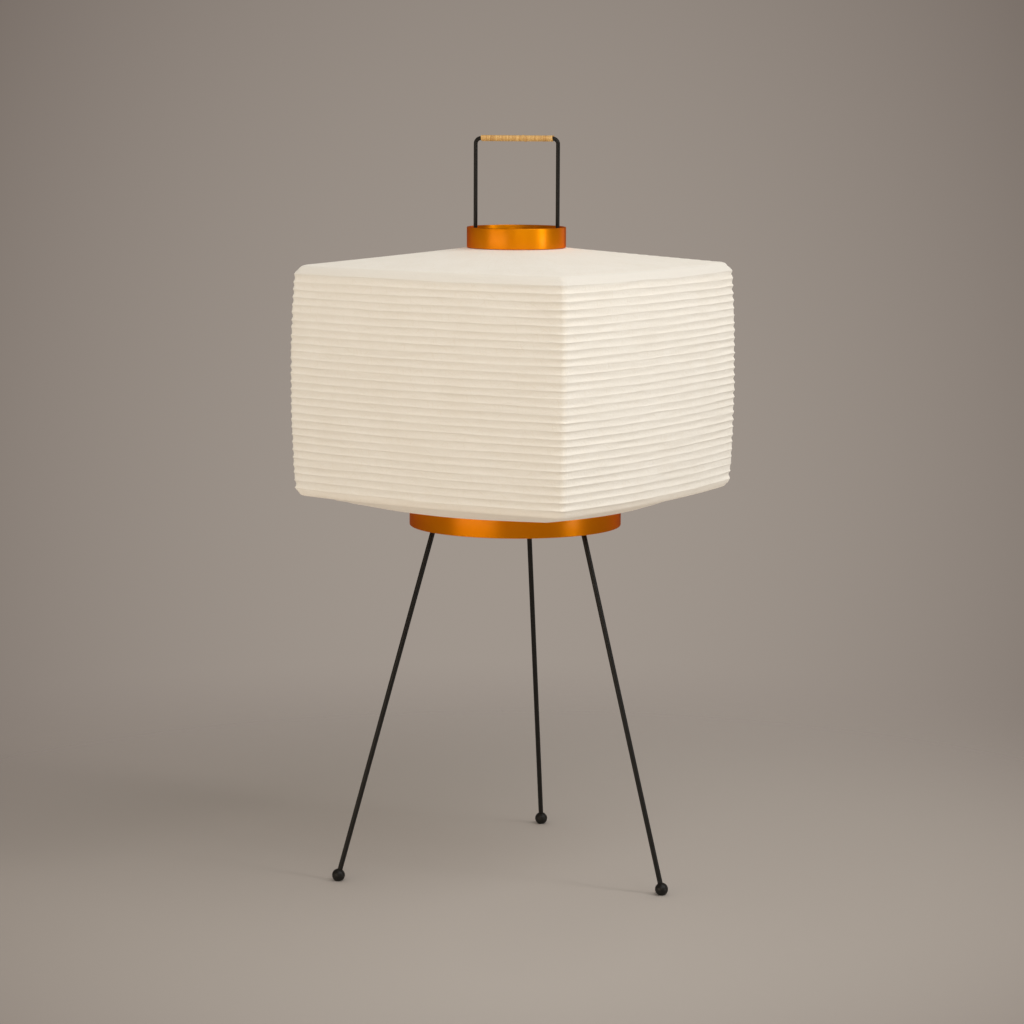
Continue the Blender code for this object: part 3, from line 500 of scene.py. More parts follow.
top_edge = SIDE_HIGH - EDGE_STEPS[0]
low_edge = SIDE_LOW + EDGE_STEPS[0]
top_plan = plan_at(top_edge)
low_plan = plan_at(low_edge)
lip = round_mouth(HEAD_RADIUS - FOLD, top_plan)
# each row is a plan, a height, a share of a rib step and a depth of the hollow
rows = [(lip, HEAD_HEIGHT - PASTED_EDGE, 0.0, 0.0), (lip, HEAD_HEIGHT - FOLD, 0.0, 0.0)]
rows += slope_rows(HEAD_RADIUS, HEAD_HEIGHT, top_plan, top_edge, PLANE_RIBS_ABOVE, TOP_SAG)
rows += [(plan_at(SIDE_HIGH - edge), SIDE_HIGH - edge, 0.0, 0.0) for edge in EDGE_STEPS]
FIRST_CREST = len(rows)
for rib in range(RIBS + 1):
    for step in SIDE_STEPS if rib < RIBS else (0.0,):
        height = SIDE_HIGH - CREST_MARGIN - rib_step * (rib + step)
        near_edge = min(height - SIDE_LOW, SIDE_HIGH - height) / (EDGE_REACH * SHOULDER)
        rows.append((plan_at(height), height, step, SAG * min(1.0, EDGE_SAG + near_edge)))
rows += [(plan_at(SIDE_LOW + edge), SIDE_LOW + edge, 0.0, 0.0) for edge in reversed(EDGE_STEPS)]
rows += slope_rows(FOOT_RADIUS, FOOT_HEIGHT, low_plan, low_edge, PLANE_RIBS_BELOW, UNDER_SAG, BELLY)[::-1]
lip = round_mouth(FOOT_RADIUS - FOLD, low_plan)
rows += [(lip, FOOT_HEIGHT + FOLD, 0.0, 0.0), (lip, FOOT_HEIGHT + PASTED_EDGE, 0.0, 0.0)]
print("sheet:", len(rows), "rows, first crest in row", FIRST_CREST)

# %% [markdown]
# The hollows are pushed in along the surface's own normal. Real ribs are split by hand and paper shrinks
# unevenly, so slow noise makes some hollows deeper and some nearly flat, and lets the crests wander by a
# fraction of a millimetre. Round a corner the paper puckers and the hollows are deeper.

# %% Hollows between the ribs
HOLLOW_POWER = 2.7          # 2 is a round hollow, more makes it flat with steep edges
SOFT_SHARE = 0.4            # share of a plain wave in the section, which rounds the crests

smooth_skin = np.zeros((len(rows), columns, 3))
hollow = np.zeros((len(rows), columns))
for j, (plan, height, step, depth) in enumerate(rows):
    smooth_skin[j, :, :2] = plan
    smooth_skin[j, :, 2] = height
    steep = 1.0 - abs(1.0 - 2.0 * step) ** HOLLOW_POWER
    wave = (1.0 - math.cos(math.tau * step)) / 2.0
    hollow[j] = depth * (steep + (wave - steep) * SOFT_SHARE)

around = np.roll(smooth_skin, -1, axis=1) - np.roll(smooth_skin, 1, axis=1)
down = np.zeros_like(smooth_skin)
down[1:-1] = smooth_skin[2:] - smooth_skin[:-2]
down[0], down[-1] = down[1], down[-2]
outward = np.cross(down, around)
outward /= np.maximum(np.linalg.norm(outward, axis=2), 1e-12)[:, :, None]
print("hollows of", round(float(hollow.max()) * 1000.0, 2), "mm before they are made uneven")

# %% Unevenness
PUCKER = 0.5                # the hollows are this much deeper where the paper bends round a corner
PUCKER_POWER = 8            # how closely the puckers keep to the corner
WANDER = 0.0007             # how far a crest strays from its height
WANDER_HEIGHT = 0.11        # above and below mid height
ALONG_RIBS = 8.0            # the noise changes this much faster from rib to rib than along a rib
SLOW, QUICK, SLACK = 11.0, 34.0, 15.0       # noise scales of the depth
LONG_STRAY, SHORT_STRAY = 13.0, 41.0        # and of the crests
SLACK_START = SLACK_RANGE = 0.25
SLACK_PLACE = Vector((0.0, 9.0, 0.0))

uneven = np.zeros((len(rows), columns))
wander = np.zeros((len(rows), columns))
for j in range(len(rows)):
    for i in range(columns):
        spot = Vector(smooth_skin[j, i])
        along = Vector((spot.x, spot.y, ALONG_RIBS * spot.z))
        slow = noise.noise(spot * SLOW)
        quick = noise.noise(along * QUICK)
        slack = noise.noise(along * SLACK + SLACK_PLACE)
        flat_patch = min(1.0, max(0.0, (slack - SLACK_START) / SLACK_RANGE))
        uneven[j, i] = (1.0 + 0.35 * slow + 0.9 * quick) * (1.0 - 0.5 * flat_patch)
        wander[j, i] = noise.noise(along * LONG_STRAY) + 0.6 * noise.noise(along * SHORT_STRAY)
mid_height = (SIDE_LOW + SIDE_HIGH) / 2.0
on_side = np.array([abs(height - mid_height) < WANDER_HEIGHT for _, height, _, _ in rows])[:, None]
along_side = np.minimum(np.arange(columns) % (SIDE_COLUMNS + CORNER_COLUMNS) / (SIDE_COLUMNS - 1), 1.0)
uneven *= 1.0 + PUCKER * abs(2.0 * along_side - 1.0) ** PUCKER_POWER
skin = smooth_skin - outward * (hollow * uneven)[:, :, None]
skin[:, :, 2] += WANDER * wander * on_side
print("deepest hollow:", round(float((hollow * uneven).max()) * 1000.0, 2), "mm")

# %% Roll the sheet into the lantern
PAPER_THICKNESS = 0.0004

deselect()
bpy.ops.mesh.primitive_grid_add(x_subdivisions=columns, y_subdivisions=len(rows) - 1, size=1.0)
lantern_paper = named("lantern_paper")
flat_spots = np.zeros(len(lantern_paper.data.vertices) * 3)
lantern_paper.data.vertices.foreach_get("co", flat_spots)
flat_spots = flat_spots.reshape(-1, 3)
column_of = np.rint((flat_spots[:, 0] + 0.5) * columns).astype(int) % columns
row_of = np.rint((0.5 - flat_spots[:, 1]) * (len(rows) - 1)).astype(int)
lantern_paper.data.vertices.foreach_set("co", skin[row_of, column_of].ravel())
edit_all()
bpy.ops.mesh.remove_doubles(threshold=MERGE)
bpy.ops.mesh.normals_make_consistent(inside=False)
object_mode()
apply_modifier(lantern_paper, "SOLIDIFY", thickness=PAPER_THICKNESS, offset=-1.0)
bpy.ops.object.shade_smooth()
print("lantern_paper:", len(lantern_paper.data.polygons), "faces")

# %% [markdown]
# ## The paper's finish
#
# Handmade paper is warm white and quite matt. Long fibres lie in it at all angles, a little lighter or darker
# than the pulp around them, and the pulp itself is cloudy where the sheet is thicker. The fibres are noise
# stretched along three slanting directions of the sheet's own UV map.

# %% Pulp and fibres
SHEET_SIZE = (1.34, 0.46, 1.0)      # metres round the lantern and along its section
FIBRES = ((0.5, (55.0, 900.0, 1.0)), (-0.62, (75.0, 1100.0, 1.0)), (1.35, (60.0, 800.0, 1.0)))
FIBRE_STRENGTH = 0.35

paper, tree, shader = new_finish(
    "handmade_paper",
    {"Roughness": 0.92, "Specular IOR Level": 0.18, "Sheen Weight": 0.06, "Sheen Roughness": 0.6})
on_sheet = add_node(tree, "ShaderNodeTexCoord").outputs["UV"]
in_metres = add_node(tree, "ShaderNodeMapping", {"Vector": on_sheet, "Scale": SHEET_SIZE})
layers = []
for slant, stretch in FIBRES:
    slanted = add_node(
        tree, "ShaderNodeVectorRotate", {"Vector": in_metres, "Angle": slant}, rotation_type="Z_AXIS")
    fibres = place_group(tree, drawn_lines, {"Vector": slanted, "Stretch": stretch})
    layers.append(add_node(tree, "ShaderNodeMapRange", {"Value": fibres, "From Min": 0.56, "From Max": 0.74}))
first_two = add_node(tree, "ShaderNodeMath", {0: layers[0], 1: layers[1]}, operation="MAXIMUM")
all_three = add_node(tree, "ShaderNodeMath", {0: first_two, 1: layers[2]}, operation="MAXIMUM")
soft_fibres = add_node(tree, "ShaderNodeMath", {0: all_three, 1: FIBRE_STRENGTH}, operation="MULTIPLY")
pulp_cloud = place_group(tree, cloudy_drift, {"Scale": 26.0, "Contrast": 1.1})
pulp = blend_colours(tree, pulp_cloud, linear(237, 229, 215), linear(244, 238, 227))
with_fibres = blend_colours(tree, soft_fibres, pulp, linear(228, 216, 194))
print("paper with", len(layers), "layers of fibres")

# %% [markdown]
# A band of painted shade lies just under the upper edge: the paper there is painted a little darker and
# greyer, which dims the shoulder that the lamps light brightly. That is a band across the sheet's UV map,
# drawn with a colour ramp. Under the colour, the paper has a fine tooth, its fibres stand up a little, and it
# is crinkled.

# %% Painted shade under the upper edge, and relief
PAINTED_SHADE_ROWS = ((-3, 0.0), (1, 1.0), (5, 1.0), (13, 0.0))     # rows from the first crest, and how much painted shade each gets

along_section = add_node(tree, "ShaderNodeSeparateXYZ", {"Vector": on_sheet}).outputs["Y"]
painted_shade_band = add_node(tree, "ShaderNodeValToRGB", {"Fac": along_section})
painted_shade_band.color_ramp.interpolation = "EASE"
for place, tone in PAINTED_SHADE_ROWS:
    stop = painted_shade_band.color_ramp.elements.new(1.0 - (FIRST_CREST + place) / (len(rows) - 1))
    stop.color = (tone, tone, tone, 1.0)
painted_shade_band.color_ramp.elements[0].color = BLACK
painted_shade_band.color_ramp.elements[-1].color = BLACK
# painted shade: the band mixes the paper towards this darker, greyer colour
fill(shader, {"Base Color": blend_colours(tree, painted_shade_band, with_fibres, linear(229, 223, 212))})

tooth = place_group(tree, fine_grain, {"Scale": 420.0})
crinkles = place_group(tree, drawn_lines, {"Vector": in_metres, "Stretch": (75.0, 330.0, 1.0)})
relief = add_node(tree, "ShaderNodeMath", {0: all_three, 1: 0.5, 2: tooth}, operation="MULTIPLY_ADD")
all_relief = add_node(tree, "ShaderNodeMath", {0: crinkles, 1: 1.6, 2: relief}, operation="MULTIPLY_ADD")
link_bump(shader, all_relief, 0.25, 0.0006)
print("toned from row", FIRST_CREST + PAINTED_SHADE_ROWS[0][0], "to row", FIRST_CREST + PAINTED_SHADE_ROWS[-1][0])

# %% [markdown]
# Paper lets light through, and here that light is painted in: the underside glows faintly with an emission
# that stands in for light that came in through the other sides.

# %% Painted glow of the underside
UNDERSIDE_SHARE = (len(PLANE_STEPS) * PLANE_RIBS_BELOW + 5) / len(rows)
PAINTED_GLOW_FADE = 1.4
PAINTED_UNDERSIDE_GLOW = (0.14, 0.11, 0.078, 1.0)

# painted light: this mask picks out the underside, which is given a faint emission glow
under = add_node(tree, "ShaderNodeMapRange", {
    "Value": along_section, "From Min": PAINTED_GLOW_FADE * UNDERSIDE_SHARE, "From Max": UNDERSIDE_SHARE})
fill(shader, {"Emission Color": blend_colours(tree, under, BLACK, PAINTED_UNDERSIDE_GLOW), "Emission Strength": 1.0})
dress(lantern_paper, paper, "paper", "base", "shade_paper")
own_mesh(lantern_paper)

# %% [markdown]
# ## The bamboo rib and the two hoops
#
# Inside, one splint of bamboo lies behind each crest. It follows a crest once round and then steps down to
# the next, all in one length. A path that is given thickness and made a mesh is how a wire or splint is drawn
# by hand. Two flat hoops end the paper at its mouths. They are seen through the rings.

# %% Bamboo finish
split_bamboo, tree, shader = new_finish("split_bamboo", {"Specular IOR Level": 0.35})
where_on = add_node(tree, "ShaderNodeTexCoord").outputs["Object"]
fibre = place_group(tree, drawn_lines, {"Vector": where_on, "Stretch": (40.0, 40.0, 2400.0)})
cloud_mask = place_group(tree, cloudy_drift, {"Scale": 35.0, "Contrast": 2.5})
straw = blend_colours(tree, fibre, linear(206, 172, 112), linear(226, 198, 142))
fill(shader, {"Base Color": blend_colours(tree, cloud_mask, straw, linear(172, 132, 78))})
link_gloss(shader, fibre, 0.5, 0.68)
link_bump(shader, fibre, 0.3, 0.0003)
print("finish:", split_bamboo.name)

# %% Bamboo splint
SPLINT_RADIUS = 0.0009
BEHIND_CREST = 0.0018
BEHIND_HOLLOW = 0.0034
STEP_SHARE = 0.07           # share of a turn in which the splint steps down to the next crest


def drawn_bar(name, path, radius, roundness):
    """A path that is given thickness and made a mesh."""
    deselect()
    bpy.ops.curve.primitive_nurbs_path_add(radius=0.01)
    bar = named(name)
    bar.data.splines.clear()
    line = bar.data.splines.new("POLY")
    line.points.add(len(path) - 1)
    line.points.foreach_set("co", np.array([(*spot, 1.0) for spot in path]).ravel())
    bar.data.bevel_depth = radius
    bar.data.bevel_resolution = roundness
    bar.data.use_fill_caps = True
    bpy.ops.object.convert(target="MESH")
    return settle(bpy.context.object)


path = []
for rib in range(1, RIBS - 2):
    crest = FIRST_CREST + len(SIDE_STEPS) * rib
    next_crest = crest + len(SIDE_STEPS)
    for i in range(columns):
        moving = max(0.0, (i / columns - (1.0 - STEP_SHARE)) / STEP_SHARE)
        share = moving * moving * (3.0 - 2.0 * moving)
        inset = BEHIND_CREST + (BEHIND_HOLLOW - BEHIND_CREST) * math.sin(math.pi * moving)
        on_paper = skin[crest, i] * (1.0 - share) + skin[next_crest, i] * share
        path.append(on_paper - outward[crest, i] * inset)
bamboo_splint = drawn_bar("bamboo_splint", path, SPLINT_RADIUS, 1)
dress(bamboo_splint, split_bamboo, "bamboo", "base", "bamboo_rib")
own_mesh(bamboo_splint)

# %% Hoops
HOOP_WALL = 0.0015
HOOP_ROUNDING = 0.0003
HOOP_STEPS = 128


def band(name, node, wall, rounding, steps):
    """A plain ring as high and wide as a CAD node, with rounded edges."""
    low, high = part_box(node)
    return settle(turned(name, tube(high.x, high.x - wall, low.z, high.z), rounding, steps))


for name, node, body in (("upper_hoop", "top_hoop", "shade_head"), ("lower_hoop", "bottom_hoop", "base")):
    dress(band(name, node, HOOP_WALL, HOOP_ROUNDING, HOOP_STEPS), split_bamboo, "bamboo", body, node)

# %% [markdown]
# ## The orange rings
#
# Both rings are short tubes with softly broken edges, which catch a thin bright line along the rim. The lower
# ring also has a flat ledge inside, where the plate with the legs is screwed down, so its section is an L.

# %% Rings
TOP_WALL = 0.0025
BOTTOM_WALL = 0.003
EDGE_ROUNDING = 0.0008
LEDGE_INNER = 0.0921
LEDGE_LOW, LEDGE_HIGH = 0.361, 0.364
RING_STEPS = 192

upper_ring = band("upper_ring", "top_ring", TOP_WALL, EDGE_ROUNDING, RING_STEPS)
dress(upper_ring, anodised_orange, "orange_metal", "shade_head", "top_ring")

low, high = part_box("bottom_ring")
inner = high.x - BOTTOM_WALL
section = [
    (high.x, low.z), (high.x, high.z), (inner, high.z), (inner, LEDGE_HIGH), (LEDGE_INNER, LEDGE_HIGH),
    (LEDGE_INNER, LEDGE_LOW), (inner, LEDGE_LOW), (inner, low.z),
]
lower_ring = settle(turned("lower_ring", section, EDGE_ROUNDING, RING_STEPS))
dress(lower_ring, anodised_orange, "orange_metal", "base", "bottom_ring")

# %% [markdown]
# ## Legs and ball feet
#
# A leg is a straight bar. It starts as a cylinder along the line between the ball and its socket, and its
# ends are bevelled. A foot is a ball with a bore for the bar and a small flat to stand on: a sphere is tilted
# so that its pole looks up the leg, the faces round the pole are pushed in as the bore, and the floor plane
# cuts the flat.

# %% Legs
LEG_RADIUS = 0.0025
LEG_SPLAY = math.radians(16.25)
LEG_VERTICES = 40
LEG_BEVEL = 0.0004
BALL_RADIUS = 0.0065
BORE_FLOOR = 0.0018         # from the ball's middle to the end of the leg
LEG_SIDES = {"back": 90.0, "right": -30.0, "left": 210.0}


def leg_direction(degrees):
    """Unit vector up a leg."""
    angle = math.radians(degrees)
    lean = -math.sin(LEG_SPLAY)
    return Vector((lean * math.cos(angle), lean * math.sin(angle), math.cos(LEG_SPLAY)))


def ball_centre(side):
    """Middle of a foot's ball, from the box of its CAD node."""
    low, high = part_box(f"foot_{side}")
    return Vector(((low.x + high.x) / 2.0, (low.y + high.y) / 2.0, high.z - BALL_RADIUS))


def turn_to(direction):
    """The rotation that turns +Z into a direction."""
    return direction.to_track_quat("Z", "Y").to_euler()


def straight_bar(name, start, end, radius):
    """A round bar between two points, with bevelled ends."""
    deselect()
    bpy.ops.mesh.primitive_cylinder_add(vertices=LEG_VERTICES, radius=radius, depth=(end - start).length)
    bar = named(name)
    edit_all()
    select_points("DESELECT")
    shape = bmesh.from_edit_mesh(bar.data)
    for edge in shape.edges:
        edge.select = abs(edge.verts[0].co.z - edge.verts[1].co.z) < MERGE
    bmesh.update_edit_mesh(bar.data)
    bpy.ops.mesh.bevel(offset=LEG_BEVEL, segments=3, affect="EDGES")
    object_mode()
    return settle(bar, (start + end) / 2.0, turn_to(end - start))


def bar_leg(side, degrees):
    """The bar from a ball's bore up into its socket."""
    centre = ball_centre(side)
    up = leg_direction(degrees)
    leg_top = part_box(f"leg_{side}")[1].z
    start = centre + up * BORE_FLOOR
    end = centre + up * ((leg_top - centre.z) / math.cos(LEG_SPLAY) - LEG_RADIUS * math.tan(LEG_SPLAY))
    leg = straight_bar(f"bar_leg_{side}", start, end, LEG_RADIUS)
    dress(leg, black_lacquer, "black_metal", "base", f"leg_{side}")


print("the legs lean", round(math.degrees(LEG_SPLAY), 2), "degrees")

# %% Legs with their ball feet
BORE_REACH = 1.2 * LEG_RADIUS       # faces this near the pole become the bore
BORE_DEPTH = BALL_RADIUS - 2.0 * BORE_FLOOR


def cut_level(piece, height, **side):
    """Cuts a piece off at a height and closes the cut."""
    pick(piece)
    edit_all()
    bpy.ops.mesh.bisect(plane_co=(0.0, 0.0, height), plane_no=(0.0, 0.0, 1.0), use_fill=True, **side)
    object_mode()
    bpy.ops.object.shade_smooth_by_angle(angle=SMOOTH_ANGLE)


def ball_foot(side, degrees):
    """A ball with a bore up the leg and a flat to stand on."""
    deselect()
    bpy.ops.mesh.primitive_uv_sphere_add(segments=48, ring_count=32, radius=BALL_RADIUS)
    foot = named(f"ball_foot_{side}")
    edit_all()
    bpy.ops.mesh.select_mode(type="FACE")
    select_points("DESELECT")
    ball = bmesh.from_edit_mesh(foot.data)
    for face in ball.faces:
        face.select = all(
            math.hypot(vertex.co.x, vertex.co.y) < BORE_REACH and vertex.co.z > 0.0 for vertex in face.verts)
    bmesh.update_edit_mesh(foot.data)
    bpy.ops.mesh.extrude_region_move(TRANSFORM_OT_translate={"value": (0.0, 0.0, -BORE_DEPTH)})
    object_mode()
    settle(foot, ball_centre(side), turn_to(leg_direction(degrees)))
    cut_level(foot, 0.0, clear_inner=True)
    dress(foot, black_lacquer, "black_metal", "base", f"foot_{side}")


for side, degrees in LEG_SIDES.items():
    bar_leg(side, degrees)
    ball_foot(side, degrees)

# %% [markdown]
# ## The handle frame
#
# One black bar goes up from a socket on the plate, through the top ring, over as the handle and down again.
# It is a path with two round bends, given the bar's thickness and made a mesh.

# %% Handle frame
BAR_RADIUS = 0.002
BEND_RADIUS = 0.0055
BEND_STEPS = 14
BAR_ROUNDNESS = 8

bar_low, bar_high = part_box("handle_frame")
upright_x = bar_high.x - BAR_RADIUS
grip_height = bar_high.z - BAR_RADIUS
right_side = [(upright_x, 0.0, bar_low.z), (upright_x, 0.0, (bar_low.z + grip_height) / 2.0)]
for i in range(BEND_STEPS + 1):
    angle = math.pi / 2.0 * i / BEND_STEPS
    right_side.append((
        upright_x - BEND_RADIUS + BEND_RADIUS * math.cos(angle), 0.0,
        grip_height - BEND_RADIUS + BEND_RADIUS * math.sin(angle)))
left_side = [(-x, y, z) for x, y, z in reversed(right_side)]
handle_bar = drawn_bar("handle_bar", right_side + left_side, BAR_RADIUS, BAR_ROUNDNESS)
dress(handle_bar, black_lacquer, "black_metal", "base", "handle_frame")

# %% [markdown]
# ## The cane grip
#
# Split cane is flat inside and rounded outside, and it is wound tightly in about forty turns. A Screw
# modifier does what the hand does: it carries the strip's section round the bar while it moves along it. One
# end is tucked under a slanting turn a little right of the middle.

# %% Cane strip
CANE_TURNS, CANE_STEPS = 39, 26             # turns, and steps in each
CANE_WIDTH = 0.00192
CANE_THICKNESS = 0.00115
CANE_HALF_LENGTH = 0.0369
CANE_START = 0.0006
TUCK_TURNS, TUCK_STEPS = 0.55, 40
TUCK_WIDTH = 0.0022
TUCK_THICKNESS = 0.0009
TUCK_LEAD = 0.0048
TUCK_LIFT = 0.4                             # share of the cane's thickness that the tucked turn lies higher
TUCK_X = 0.0065


def wound_strip(name, radius, width, thickness, start_x, lead, turns, steps):
    """A strip of cane wound about the grip's axis."""
    deselect()
    bpy.ops.mesh.primitive_circle_add(
        vertices=10, radius=0.5, location=(start_x, 0.0, radius), rotation=(math.pi / 2.0, 0.0, 0.0))
    strip = named(name)
    strip.scale = (width, thickness, 1.0)
    bpy.ops.object.transform_apply(location=True, rotation=True, scale=True)
    all_steps = round(steps * turns)
    apply_modifier(
        strip, "SCREW", axis="X", angle=math.tau * turns, screw_offset=lead * turns,
        steps=all_steps, render_steps=all_steps)
    edit_all()
    select_points("DESELECT")
    bpy.ops.mesh.select_non_manifold()
    bpy.ops.mesh.edge_face_add()
    select_points("SELECT")
    bpy.ops.mesh.normals_make_consistent(inside=False)
    object_mode()
    return settle(strip, (0.0, 0.0, grip_height))


cane_lead = (2.0 * CANE_HALF_LENGTH - CANE_WIDTH) / CANE_TURNS
cane_radius = BAR_RADIUS + CANE_THICKNESS / 2.0
cane_winding = wound_strip(
    "cane_winding", cane_radius, CANE_WIDTH, CANE_THICKNESS,
    -CANE_HALF_LENGTH + CANE_WIDTH / 2.0 + CANE_START, cane_lead, CANE_TURNS, CANE_STEPS)
cane_tuck = wound_strip(
    "cane_tuck", cane_radius + TUCK_LIFT * CANE_THICKNESS, TUCK_WIDTH, TUCK_THICKNESS,
    TUCK_X, TUCK_LEAD, TUCK_TURNS, TUCK_STEPS)
print("one turn of cane every", round(cane_lead * 1000.0, 2), "mm")

# %% Cane finish
split_cane, tree, shader = new_finish(
    "split_cane", {"Specular IOR Level": 0.45, "Coat Weight": 0.2, "Coat Roughness": 0.3})
where_on = add_node(tree, "ShaderNodeTexCoord").outputs["Object"]
each_turn = place_group(tree, drawn_lines, {"Vector": where_on, "Stretch": (420.0, 12.0, 12.0)})
fibre = place_group(tree, drawn_lines, {"Vector": where_on, "Stretch": (5200.0, 160.0, 160.0)})
turn_tones = add_node(tree, "ShaderNodeMapRange", {"Value": each_turn, "From Min": 0.3, "From Max": 0.65})
thin_streaks = add_node(tree, "ShaderNodeMapRange", {
    "Value": fibre, "From Min": 0.5, "From Max": 0.8, "To Max": 0.7})
honey = blend_colours(tree, turn_tones, linear(184, 134, 66), linear(228, 186, 116))
fill(shader, {"Base Color": blend_colours(tree, thin_streaks, honey, linear(166, 115, 56))})
link_gloss(shader, fibre, 0.36, 0.55)
link_bump(shader, fibre, 0.25, 0.0002)
dress(cane_winding, split_cane, "cane", "base", "cane_grip")
dress(cane_tuck, split_cane, "cane", "base", "cane_grip")

# %% [markdown]
# ## The plate and its fittings
#
# Inside the lower ring a steel plate with three arms rests on the ledge. It carries the leg sockets, the
# handle's sockets and the lampholder, and it is seen from below. A disc and three bars are joined by Boolean
# modifiers, the holes are cut the same way, and a narrow bevel breaks the edges.

# %% Plate
PLATE_RADIUS = 0.0519
ARM_WIDTH = 0.014
ARM_END = 0.1025
NIPPLE_RADIUS = 0.005
SCREW_CIRCLE = 0.0970
SCREW_HOLE = 0.0022
CUTTER_DEPTH = 0.02
CLEARANCE = 0.0003          # gap in a bore, and under a screw's head
BROKEN_EDGE = 0.0003


def join_or_cut(piece, other, operation):
    """Adds or takes away the shape of another object, which is then deleted."""
    apply_modifier(piece, "BOOLEAN", operation=operation, solver="EXACT", object=other)
    deselect()
    other.select_set(True)
    bpy.ops.object.delete()


def polar(radius, degrees, height=0.0):
    angle = math.radians(degrees)
    return Vector((radius * math.cos(angle), radius * math.sin(angle), height))


def disc(radius, depth, place, vertices=32):
    """A cylinder, as a start or as a cutter."""
    deselect()
    bpy.ops.mesh.primitive_cylinder_add(vertices=vertices, radius=radius, depth=depth, location=place)
    return bpy.context.object


def block(size, place, degrees):
    """A cube drawn to a size and turned about Z."""
    deselect()
    bpy.ops.mesh.primitive_cube_add(
        size=1.0, location=place, rotation=(0.0, 0.0, math.radians(degrees)), scale=size)
    return bpy.context.object


plate_low, plate_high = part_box("base_plate")
plate_middle = (plate_low.z + plate_high.z) / 2.0
plate_depth = plate_high.z - plate_low.z
disc(PLATE_RADIUS, plate_depth, (0.0, 0.0, plate_middle), 96)
plate = named("three_arm_plate")
for degrees in LEG_SIDES.values():
    arm = block((ARM_END, ARM_WIDTH, plate_depth), polar(ARM_END / 2.0, degrees, plate_middle), degrees)
    join_or_cut(plate, arm, "UNION")
for degrees in LEG_SIDES.values():
    hole = disc(SCREW_HOLE, CUTTER_DEPTH, polar(SCREW_CIRCLE, degrees, plate_middle))
    join_or_cut(plate, hole, "DIFFERENCE")
join_or_cut(plate, disc(NIPPLE_RADIUS + CLEARANCE, CUTTER_DEPTH, (0.0, 0.0, plate_middle)), "DIFFERENCE")
apply_modifier(
    plate, "BEVEL", width=BROKEN_EDGE, segments=2, limit_method="ANGLE", angle_limit=math.radians(40.0))
dress(settle(plate), zinc_steel, "steel", "base", "base_plate")

# %% Leg sockets
SOCKET_RADIUS = 0.0055
SOCKET_MOUTH = 0.353        # height of the socket's mouth
SOCKET_LENGTH = 0.02
SOCKET_BORE = 0.0085
SOCKET_STEPS = 48
FINE_ROUNDING = 0.0003



def leg_socket(side, degrees):
    """A tilted boss that takes a leg, cut level under the plate."""
    bore = LEG_RADIUS + CLEARANCE
    section = [
        (SOCKET_RADIUS, 0.0), (SOCKET_RADIUS, SOCKET_LENGTH), (0.0, SOCKET_LENGTH), (0.0, SOCKET_BORE),
        (bore, SOCKET_BORE), (bore, 0.0),
    ]
    up = leg_direction(degrees)
    centre = ball_centre(side)
    mouth = centre + up * ((SOCKET_MOUTH - centre.z) / math.cos(LEG_SPLAY))
    socket = settle(turned(f"bar_socket_{side}", section, FINE_ROUNDING, SOCKET_STEPS), mouth, turn_to(up))
    cut_level(socket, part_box(f"leg_socket_{side}")[1].z, clear_outer=True)
    dress(socket, zinc_steel, "steel", "base", f"leg_socket_{side}")


# %% Leg sockets with their plate screws
SCREW_RADIUS = 0.0019
HEAD_RADIUS_SCREW = 0.0034
HEAD_CROWN, HEAD_EDGE = 0.0002, 0.0010      # how far the head falls off from its middle
SLOT_WIDTH, SLOT_DEPTH = 0.0008, 0.0018
SLOT_TURN = 1.7             # the slots stand at different angles

for side, degrees in LEG_SIDES.items():
    leg_socket(side, degrees)
    low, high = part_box(f"arm_screw_{side}")
    head_low = plate_high.z + CLEARANCE
    section = [
        (0.0, high.z), (0.6 * HEAD_RADIUS_SCREW, high.z - HEAD_CROWN), (HEAD_RADIUS_SCREW, high.z - HEAD_EDGE),
        (HEAD_RADIUS_SCREW, head_low), (SCREW_RADIUS, head_low), (SCREW_RADIUS, low.z), (0.0, low.z),
    ]
    screw = turned(f"plate_screw_{side}", section, 0.00015, 40, closed=False)
    slot = block((2.5 * HEAD_RADIUS_SCREW, SLOT_WIDTH, SLOT_DEPTH), (0.0, 0.0, high.z), degrees * SLOT_TURN)
    join_or_cut(screw, slot, "DIFFERENCE")
    settle(screw, polar(SCREW_CIRCLE, degrees))
    dress(screw, zinc_steel, "steel", "base", f"arm_screw_{side}")

# %% Handle sockets
UPRIGHT_SOCKET_RADIUS = 0.0045
UPRIGHT_ROUNDING = 0.0004

for side, sign in (("left", -1.0), ("right", 1.0)):
    low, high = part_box(f"upright_socket_{side}")
    section = tube(UPRIGHT_SOCKET_RADIUS, BAR_RADIUS + CLEARANCE, low.z, high.z)
    socket = turned(f"handle_socket_{side}", section, UPRIGHT_ROUNDING, SOCKET_STEPS)
    settle(socket, (sign * upright_x, 0.0, 0.0))
    dress(socket, zinc_steel, "steel", "base", f"upright_socket_{side}")
    repaint(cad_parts[f"ring_lug_{side}"], zinc_steel)
    repaint(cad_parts[f"set_screw_{side}"], zinc_steel)

# %% [markdown]
# ## Lampholder and bulb
#
# On the plate stands a black moulded lampholder with a ceramic core, held by a threaded tube and a nut from
# below, where the bush for a cable sits. The opal bulb with its brass cap is seen from above, through the top
# ring. All of these are turned shapes. Small fittings that hardly show keep their CAD shape and only get a
# finish.

# %% Lampholder
CUP_WALL, CUP_FLOOR = 0.002, 0.003
CUP_WAIST = 0.0008          # depth of the groove round the cup
SLEEVE_BORE = 0.0139
RIDGES = 5
RIDGE_START, RIDGE_STEP, RIDGE_DEPTH = 0.004, 0.0034, 0.0009
HOLDER_STEPS = 72

